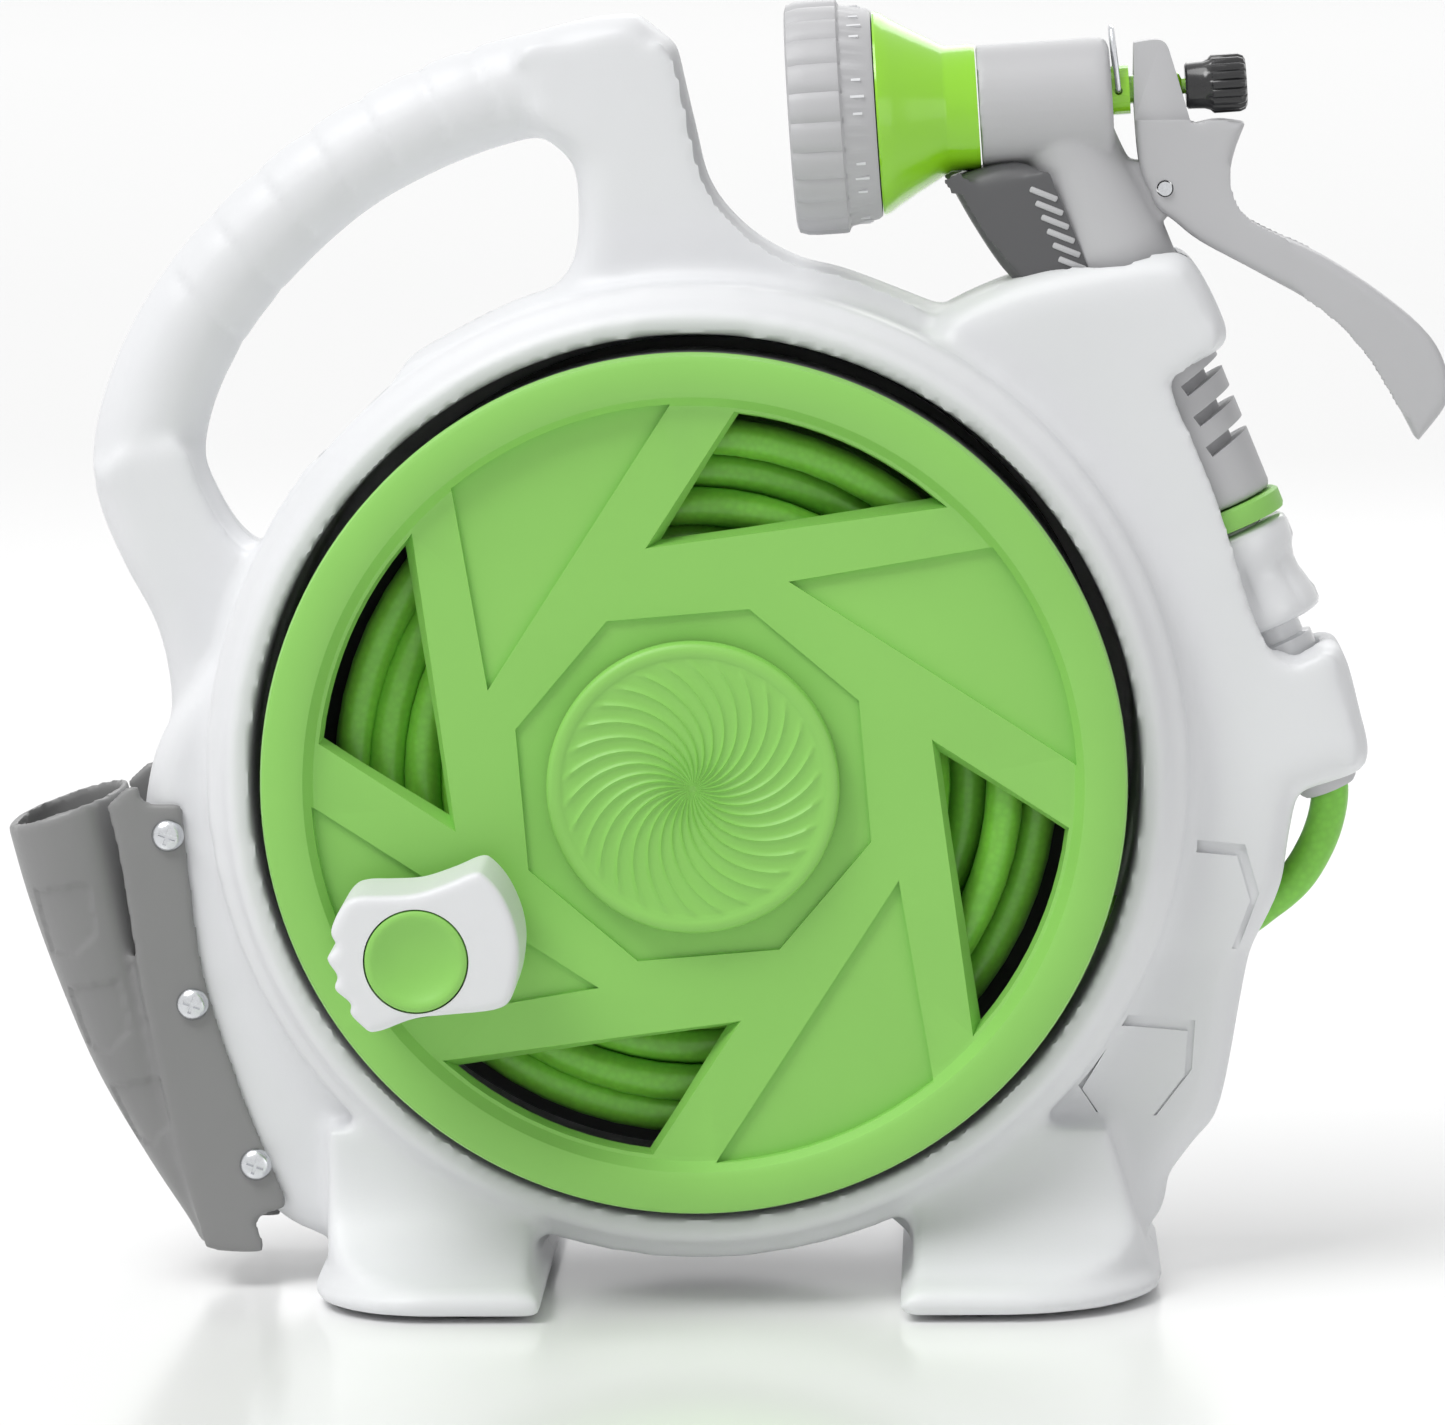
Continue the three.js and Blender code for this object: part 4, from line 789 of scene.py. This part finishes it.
class REEL_OT_crank(bpy.types.Operator):
    """Makes the crank's lobed white grip and its dished green cap"""

    bl_idname = "reel.crank"
    bl_label = "Crank"

    def execute(self, context):
        grip = outline([(-9, 18), (-18, 17), (-23, 8.6), (-21.6, 4.1), (-24.2, 0.6), (-21.4, -4.2),
            (-22.3, -7.7), (-18, -11.7), (-18, -14.8), (-13.2, -19.6)],
            [(-9.7, -19.2), (-0.5, -15.9), (10, -14.8), (21.5, -13.5), (25.9, -10), (28.1, 0.2), (27.3, 9),
            (23.7, 17.8), (18.9, 23.5), (15.8, 24.2), (8.8, 21.3), (0, 18.5), (-9, 18)], per=5)
        grip = [(p.x + CRANK.x, p.y + CRANK.z) for p in grip]
        body = draft(prism(grip, -98, -63.5, soft=2.2, steps=4))
        fused(body, 0.75, rounds=3)
        combine(body, [turned([(0, -FAR), (14.35, -FAR), (14.35, -92), (9, -92), (9, -87), (4.35, -87),
            (4.35, -60), (0, -60)], CRANK, steps=64)])
        skin(body, "crank_grip", "crank_knob", "white_abs", crease=40)
        cap = turned([(0, -95.6), (4, -95.8), (8, -96.5), (10.8, -97.8), (12, -98.5), (13.1, -98.6),
            (13.8, -98.2), (14, -97.4), (14, -92.4), (0, -92.4)], CRANK, steps=72)
        skin(draft(cap), "crank_cap", "crank_knob", "green_plastic")
        return {"FINISHED"}


def pan_screw(x, z, seat):
    """A pan-head screw with a cross recess. Its bearing face is at seat."""
    head = draft(turned([(0, seat - 2.7), (1.6, seat - 2.68), (3.1, seat - 2.3), (4.1, seat - 1.5),
        (4.55, seat - 0.6), (4.55, seat), (1.6, seat), (1.6, seat + 12), (0, seat + 12)], Vector((x, 0, z)),
        steps=48))
    low, high = seat - 4, seat - 1.2
    for turn in (0.35, 0.35 + math.pi / 2):
        combine(head, [brick((x - 2.5, low, z - 0.5), (x + 2.5, high, z + 0.5),
            Matrix.Rotation(turn, 3, "Y"), Vector((x, 0, z)))])
    return rounded(head, 0.12, 2, 30)


class REEL_OT_pouch(bpy.types.Operator):
    """Makes the grey tool pouch and its three screws"""

    bl_idname = "reel.pouch"
    bl_label = "Tool pouch"

    def execute(self, context):
        left = through([(-197, -17), (-191.5, -38), (-183, -63), (-172.5, -88.5), (-158.5, -113),
            (-147.5, -130), (-144.5, -136)], 4)
        right = through([(-164, -6), (-160, -26), (-154.5, -52), (-147.5, -80), (-140, -106), (-132, -127),
            (-129, -136)], 4)

        def lofted(thin, lift):
            bm = bmesh.new()
            rings = []
            for k, (a, b) in enumerate(zip(left, right)):
                share = k / (len(left) - 1)
                deep = 26.4 - 3.5 * share - thin
                middle = (a + b) / 2
                reach = (b - a) / 2
                reach = reach * (1 - thin / reach.length)
                ring = []
                for n in range(40):
                    turn = n / 40 * math.tau
                    c, s = math.cos(turn), math.sin(turn)
                    # A squared ellipse, blunter than a true one.
                    c, s = math.copysign(abs(c) ** 0.8, c), math.copysign(abs(s) ** 0.8, s)
                    p = middle + reach * c
                    ring.append(bm.verts.new((p.x, deep * s, p.y + (lift if k == 0 else 0))))
                rings.append(ring)
            return skinned(bm, rings)

        flange = outline([(-166.5, -9), (-160, -3.5), (-156.5, -4), (-155.5, -8), (-146, -8.5),
            (-144.5, -10.5)], [(-143.5, -24.5), (-139.5, -57.5), (-129.5, -91), (-117.5, -122),
            (-118, -124.5)], [(-126, -128), (-124.5, -137), (-141, -136.2)],
            [(-150, -100), (-158, -60), (-163, -25), (-166.5, -9)], per=5)
        plates = [prism(flange, side * 25.4 - 1.45, side * 25.4 + 1.45, soft=0.5, steps=2) for side in (-1,
            1)]
        whole = joined([lofted(0, 0)] + plates)
        fused(whole, 1.3, rounds=2)
        combine(whole, [lofted(2.4, 12)])
        # The pouch stops at the shells.
        hull = outline([(-120, -128), (-134.5, -110), (-151, -66), (-156.5, -21.5), (-155, -1), (-149, 14)],
            [(-80, 14)], [(-80, -140)], [(-107, -134.5), (-120, -128)])
        hull = [(p.x - 0.5, p.y) for p in hull]
        combine(whole, [prism(hull, -24.2, 24.2)])
        fused(whole, context.scene.reel_sizes.pouch_grain, rounds=2)
        marks = [[(-188, -34), (-172, -31), (-170, -45), (-176, -52), (-184, -52)],
            [(-179, -62), (-164, -59), (-161, -73), (-167, -80), (-174, -79)],
            [(-168, -90), (-153, -87), (-150, -100), (-156, -107), (-161, -106)]]

        def emboss(place, normal):
            if abs(normal.y) < 0.1:
                return None
            for mark in marks:
                if inside(mark, place.x, place.z):
                    return normal * -0.8
            return None

        nudged(whole, emboss)
        whole.modifiers.new("relax", "SMOOTH").iterations = 1
        settle(whole)
        skin(whole, "tool_pouch", "frame", "pouch_plastic", crease=45)
        for number in (1, 2, 3):
            low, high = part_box(f"pouch_screw_{number}")
            middle = drawn_at((Vector(low) + Vector(high)) / 2)
            finished(pan_screw(middle.x, middle.z, -26.95), f"pouch_screw_{number}_skin", "frame",
                "screw_steel", f"pouch_screw_{number}", crease=30)
        return {"FINISHED"}


class REEL_OT_gun(bpy.types.Operator):
    """Makes the spray gun's body, its dark front pad and its collar"""

    bl_idname = "reel.gun"
    bl_label = "Spray gun"

    def execute(self, context):
        grain = context.scene.reel_sizes.gun_grain
        barrel = turned([(0, -17.4), (14.5, -17.4), (16.6, -16.4), (17.2, -14), (17.2, 19.7), (0, 19.7)],
            GUN, NOSE, 64)
        handle = turned([(0, 0), (13.4, 0), (14.2, 19), (15.6, 34), (16.8, 44), (16.8, 122), (15.8, 123.1),
            (0, 123.1)], GUN, DOWN, 64)
        ears = prism([(106.5, 142), (125, 146), (137, 156.5), (137, 164), (131, 167), (106.5, 171)], -5.3,
            5.3, soft=1, steps=2)
        body = joined([barrel, handle, ears])
        fused(body, grain, rounds=2)
        combine(body, [rod(7.2, -40, 4, STEM, NOSE, 40), rod(6.35, 109, 150, GUN, DOWN, 40),
            rod(2.35, -20, 20, PIVOT, steps=32)])
        for k in range(5):
            place = on_gun(69 + k * 9.2)
            middle = Vector((place.x + 14, 0, place.z + 8))
            slot = brick(middle - Vector((12, 30, 1.7)), middle + Vector((12, 30, 1.7)),
                Matrix.Rotation(math.radians(-36), 3, "Y"), middle)
            combine(body, [slot])
        # The slots stop at a core inside the handle.
        combine(body, [rod(11.8, 20, 108.5, GUN, DOWN, 48)], "UNION")
        rounded(body, 0.35, 2, 40)
        skin(body, "gun_body", "gun", "grey_plastic", crease=35)

        pad = draft(prism(outline([(71, 163.5), (86, 168), (104, 168)], [(116, 141), (113, 132), (94, 131)],
            [(86, 139), (78, 151), (71, 163.5)]), -15.5, 15.5, soft=6, steps=4))
        fused(pad, grain, rounds=3)
        combine(pad, [rod(17.15, -5, 140, GUN, DOWN, 64), rod(17.6, -25, 50, GUN, NOSE, 64),
            turned([(0, 28.7), (17.6, 28.7), (30, 47), (0, 47)], GUN, NOSE, 64)])
        finished(pad, "gun_pad_skin", "gun", "dark_plastic", "gun_front_pad", crease=45)
        comb = []
        for k in range(8):
            place = on_gun(22 + k * 4.2)
            for side in (-1, 1):
                rib = brick((-3.6, -1.1, -0.85), (4.6, 1.1, 0.85))
                bmesh.ops.rotate(rib, matrix=Matrix.Rotation(LEAN, 3, "Y"), verts=rib.verts)
                bmesh.ops.translate(rib, vec=place + Vector((-10.6, side * 14.9, -4.3)), verts=rib.verts)
                comb.append(rib)
        ribs = joined(comb)
        rounded(ribs, 0.5, 2, 30)
        finished(ribs, "gun_pad_comb", "gun", "grey_plastic")
        collar = turned([(6.35, 123.5), (17.4, 123.5), (18.4, 124.3), (18.4, 128.4), (17.9, 129.5),
            (6.35, 129.5)], GUN, DOWN, 72, ring=True)
        skin(draft(collar), "gun_collar", "gun", "green_plastic")
        return {"FINISHED"}


class REEL_OT_nose(bpy.types.Operator):
    """Makes the gun's glossy cone and its scalloped pattern dial"""

    bl_idname = "reel.nose"
    bl_label = "Cone and dial"

    def execute(self, context):
        start = 20.05
        cone = turned([(10, 0), (17.3, 0), (17.6, 1), (17.6, 8.4), (18.2, 9.6), (20.2, 13), (23, 18),
            (26, 23), (28, 26), (28.5, 27.4), (28.3, 28), (10, 28)], GUN + NOSE * start, NOSE, 96, ring=True)
        skin(draft(cone), "gun_cone", "gun", "green_gloss")
        start += 28.35
        dial = draft(turned([(9, 0), (28.6, 0), (29.4, 1), (30.9, 8.6), (31.4, 9), (32.6, 9.6), (32.8, 10.6),
            (32.8, 14), (32.8, 18), (32.6, 21), (31.8, 23.4), (30.2, 24), (28, 24), (27, 23), (27, 14),
            (9, 14)], GUN + NOSE * start, NOSE, 192, ring=True))
        side_way = NOSE.cross(ACROSS)

        def scallop(place, normal):
            along, out, angle = round_axis(place, GUN, NOSE)
            if out.length < 30 or along < start + 8.8:
                return None
            wave = abs(math.sin(angle * 12))
            return out.normalized() * (-0.9 * (1 - wave) ** 2)

        nudged(dial, scallop)
        skin(dial, "pattern_dial", "dial", "grey_plastic", crease=40)
        ticks = []
        for k in range(8):
            for step, long in ((-1, 2.6), (0, 4.2), (1, 2.6)):
                angle = math.radians(45 * k + 9 * step + 12)
                out = ACROSS * math.cos(angle) + side_way * math.sin(angle)
                around = NOSE.cross(out)
                tick = brick((-long / 2, -0.35, -0.3), (long / 2, 0.35, 0.3))
                turn = Matrix((NOSE, around, out)).transposed()
                bmesh.ops.rotate(tick, matrix=turn, verts=tick.verts)
                bmesh.ops.translate(tick, vec=GUN + NOSE * (start + 4.8) + out * 30.2, verts=tick.verts)
                ticks.append(tick)
        marks = joined(ticks)
        finished(marks, "dial_ticks", "dial", "white_abs")
        return {"FINISHED"}


class REEL_OT_trigger(bpy.types.Operator):
    """Makes the trigger lever, the valve stem, the flow knob and the wire loop"""

    bl_idname = "reel.trigger"
    bl_label = "Trigger and valve"

    def execute(self, context):
        shape = outline([(123, 201), (131, 201.5), (134, 195), (139, 178)], [(146.5, 179.5), (154, 178.5)],
            [(150.5, 169), (150, 160), (155.5, 151), (175, 141.5), (192.5, 130), (205.5, 118.5),
            (210.5, 107.5), (210, 99.5), (202, 89)], [(196.5, 99.5), (187.5, 114), (175, 126.5),
            (158, 136.5), (141.5, 145.5), (134.5, 151)], [(129.5, 155), (127.5, 159.5)],
            [(124.5, 167), (123, 184.5), (123, 201)], per=4)
        lever = draft(prism(shape, -8.5, 8.5, soft=2.4, steps=3))
        fused(lever, 0.8, rounds=2)
        fork = draft(prism([(100, 179.5), (170, 179.5), (170, 250), (100, 250)], -FAR, FAR))
        combine(fork, [prism([(95, 170), (175, 170), (175, 255), (95, 255)], -5.6, 5.6)])
        combine(lever, [fork, prism([(102, 127.5), (125, 127.5), (141.5, 148.5), (141.5, 169), (134.5, 173),
            (102, 177.5)], -5.65, 5.65), rod(5.5, -60, 0, STEM, NOSE, 40),
            rod(2.35, -20, 20, PIVOT, steps=32)])
        rounded(lever, 0.3, 2, 45)
        skin(lever, "trigger", "trigger_lever", "grey_plastic", crease=35)
        stem = turned([(0, -51), (2.2, -51), (2.2, -37), (3.6, -36.4), (4, -35.8), (4, -30), (3.3, -29.4),
            (3.3, -27.6), (4, -27), (4, -1), (6.4, -1), (6.4, 2), (0, 2)], STEM, NOSE, 48)
        skin(draft(stem), "valve_stem", "stem", "green_gloss")
        knob = draft(turned([(2.6, -38), (5.8, -38), (6.5, -38.6), (6.7, -43), (7.2, -44.6), (8.2, -45.6),
            (8.2, -49), (8.2, -53), (7.6, -54.4), (6.4, -55), (0, -55), (0, -51.4), (2.6, -51.4)], STEM,
            NOSE, 144))

        def flute(place, normal):
            along, out, angle = round_axis(place, STEM, NOSE)
            if out.length < 7.4 or along > -45:
                return None
            return out.normalized() * (-0.7 * (1 - abs(math.sin(angle * 9))) ** 1.5)

        nudged(knob, flute)
        skin(knob, "flow_knob", "knob", "black_plastic", crease=35)
        tip = Vector((-2, 0, 17.5))
        wire = [HINGE + tip * k + Vector((0, y, 0)) for y, k in ((-5.6, 0), (-7.6, 0.02), (-8.2, 0.12),
            (-7.4, 0.55), (-5, 0.93), (0, 1), (5, 0.93), (7.4, 0.55), (8.2, 0.12), (7.6, 0.02), (5.6, 0))]
        skin(draft(pipe(through(wire, 8), 0.8, 4)), "lock_clip", "clip", "screw_steel", crease=60)
        return {"FINISHED"}


class REEL_OT_connector(bpy.types.Operator):
    """Makes the snap connector and the hose nut"""

    bl_idname = "reel.connector"
    bl_label = "Connector"

    def execute(self, context):
        a = SLEEVE_FROM + 1
        b = a + 28
        sleeve = draft(turned([(10.4, a), (16.2, a), (17.2, a + 0.8), (17.6, a + 2.2), (17.5, a + 7),
            (16.4, a + 9.5), (15.7, a + 12.5), (15.9, a + 16), (17, a + 20), (17.6, a + 23), (17.6, b - 1.8),
            (17, b - 0.5), (16, b), (10.4, b)], GUN, DOWN, 96, ring=True))

        def facet(place, normal):
            along, out, angle = round_axis(place, GUN, DOWN)
            if out.length < 14 or along < a + 7 or along > a + 23:
                return None
            return out.normalized() * (-0.8 * (1 - abs(math.sin(angle * 4))) ** 2)

        nudged(sleeve, facet)
        skin(sleeve, "connector_sleeve", "connector_sleeve_body", "white_abs", crease=40, look="white_gloss")
        body = turned([(6.7, 0), (9.5, 0), (10, 0.5), (10, 34), (12, 34.6), (12, 62), (4, 62), (4, 38),
            (6.7, 38)], on_gun(SLEEVE_FROM), DOWN, 64, ring=True)
        skin(draft(body), "connector_body", "frame", "white_abs", look="white_gloss")
        nut = draft(turned([(6.15, 0), (8.6, 0), (8.8, 0.5), (8.8, 13), (8.3, 15.4), (7.2, 16.5),
            (6.15, 16.5)], on_gun(NUT_FROM), DOWN, 72, ring=True))
        skin(nut, "connector_nut", "frame", "grey_plastic")
        return {"FINISHED"}


class REEL_OT_stage(bpy.types.Operator):
    """Makes the floor, the lights and the camera"""

    bl_idname = "reel.stage"
    bl_label = "Stage"

    def execute(self, context):
        bm = bmesh.new()
        bmesh.ops.create_circle(bm, cap_ends=True, segments=64, radius=30)
        floor = draft(bm, "studio_floor")
        floor.data.shade_smooth()
        paper = bpy.data.materials.new("white acrylic sheet")
        paper.use_nodes = True
        shader = paper.node_tree.nodes["Principled BSDF"]
        shader.inputs["Base Color"].default_value = linear("#fafafa")
        shader.inputs["Roughness"].default_value = 0.16
        shader.inputs["Specular IOR Level"].default_value = 0.5
        floor.data.materials.append(paper)

        world = bpy.data.worlds.new("soft room")
        context.scene.world = world
        context.scene.view_settings.view_transform = "Standard"
        world.use_nodes = True
        room = world.node_tree
        room.nodes["Background"].inputs["Color"].default_value = (1, 1, 1, 1)
        # The room looks white and lights the piece softly.
        ray = node(room, "ShaderNodeLightPath")
        level = node(room, "ShaderNodeMapRange", {"To Min": 1.0, "To Max": 0.42},
            {"Value": ray.outputs["Is Diffuse Ray"]})
        room.links.new(level.outputs["Result"], room.nodes["Background"].inputs["Strength"])
        for name, place, aim, size, power in (("key", (-0.9, -1.0, 1.7), (0, 0, 0.15), 0.7, 9),
                ("fill", (1.5, -1.3, 0.5), (0, 0, 0.2), 0.9, 2),
                ("back", (0.3, 1.6, 1.3), (0, 0, 0.15), 1.2, 8)):
            light = bpy.data.lights.new(name, "AREA")
            light.size = size
            light.energy = power
            lamp = bpy.data.objects.new(name, light)
            lamp.location = place
            lamp.rotation_euler = (Vector(aim) - Vector(place)).to_track_quat("-Z", "Y").to_euler()
            context.scene.collection.objects.link(lamp)

        sky = bpy.data.lights.new("sky", "SUN")
        sky.energy, sky.angle = 1.6, math.radians(40)
        lamp = bpy.data.objects.new("sky", sky)
        lamp.rotation_euler = Vector((0.45, 0.3, -1)).to_track_quat("-Z", "Y").to_euler()
        context.scene.collection.objects.link(lamp)

        aim = ORIGIN + Vector((8.0, -50, 19.4)) * MM
        rise, swing = math.radians(7.4), math.radians(2.0)
        back = Vector((math.sin(swing) * math.cos(rise), -math.cos(swing) * math.cos(rise), math.sin(rise)))
        camera = bpy.data.cameras.new("camera")
        camera.lens = 171.5
        camera.sensor_width = 36
        camera.clip_start, camera.clip_end = 0.05, 20
        eye = bpy.data.objects.new("camera", camera)
        eye.location = aim + back * 1.9
        eye.rotation_euler = ((-back).to_track_quat("-Z",
            "Y").to_matrix() @ Matrix.Rotation(math.radians(-0.6), 3, "Z")).to_euler()
        context.scene.collection.objects.link(eye)
        context.scene.camera = eye
        return {"FINISHED"}


STEPS = (REEL_OT_stage, REEL_OT_finishes, REEL_OT_shells, REEL_OT_drum, REEL_OT_hub_cap, REEL_OT_hose,
    REEL_OT_crank, REEL_OT_pouch, REEL_OT_gun, REEL_OT_nose, REEL_OT_trigger, REEL_OT_connector)


class REEL_PT_panel(bpy.types.Panel):
    """Lists the steps and the sizes in the sidebar"""

    bl_idname = "REEL_PT_panel"
    bl_label = "Garden hose reel"
    bl_space_type = "VIEW_3D"
    bl_region_type = "UI"
    bl_category = "Reel"

    def draw(self, context):
        for step in STEPS:
            self.layout.operator(step.bl_idname)
        for group in (context.scene.reel_sizes, context.scene.reel_colours):
            for name in group.bl_rna.properties.keys():
                if name not in ("rna_type", "name"):
                    self.layout.prop(group, name)


CLASSES = (ReelSizes, ReelColours, *STEPS, REEL_PT_panel)


def register():
    for cls in CLASSES:
        bpy.utils.register_class(cls)
    bpy.types.Scene.reel_sizes = PointerProperty(type=ReelSizes)
    bpy.types.Scene.reel_colours = PointerProperty(type=ReelColours)


def unregister():
    del bpy.types.Scene.reel_sizes
    del bpy.types.Scene.reel_colours
    for cls in reversed(CLASSES):
        bpy.utils.unregister_class(cls)


def main():
    register()
    for step in STEPS:
        group, name = step.bl_idname.split(".")
        getattr(getattr(bpy.ops, group), name)()


if __name__ == "__main__":
    main()
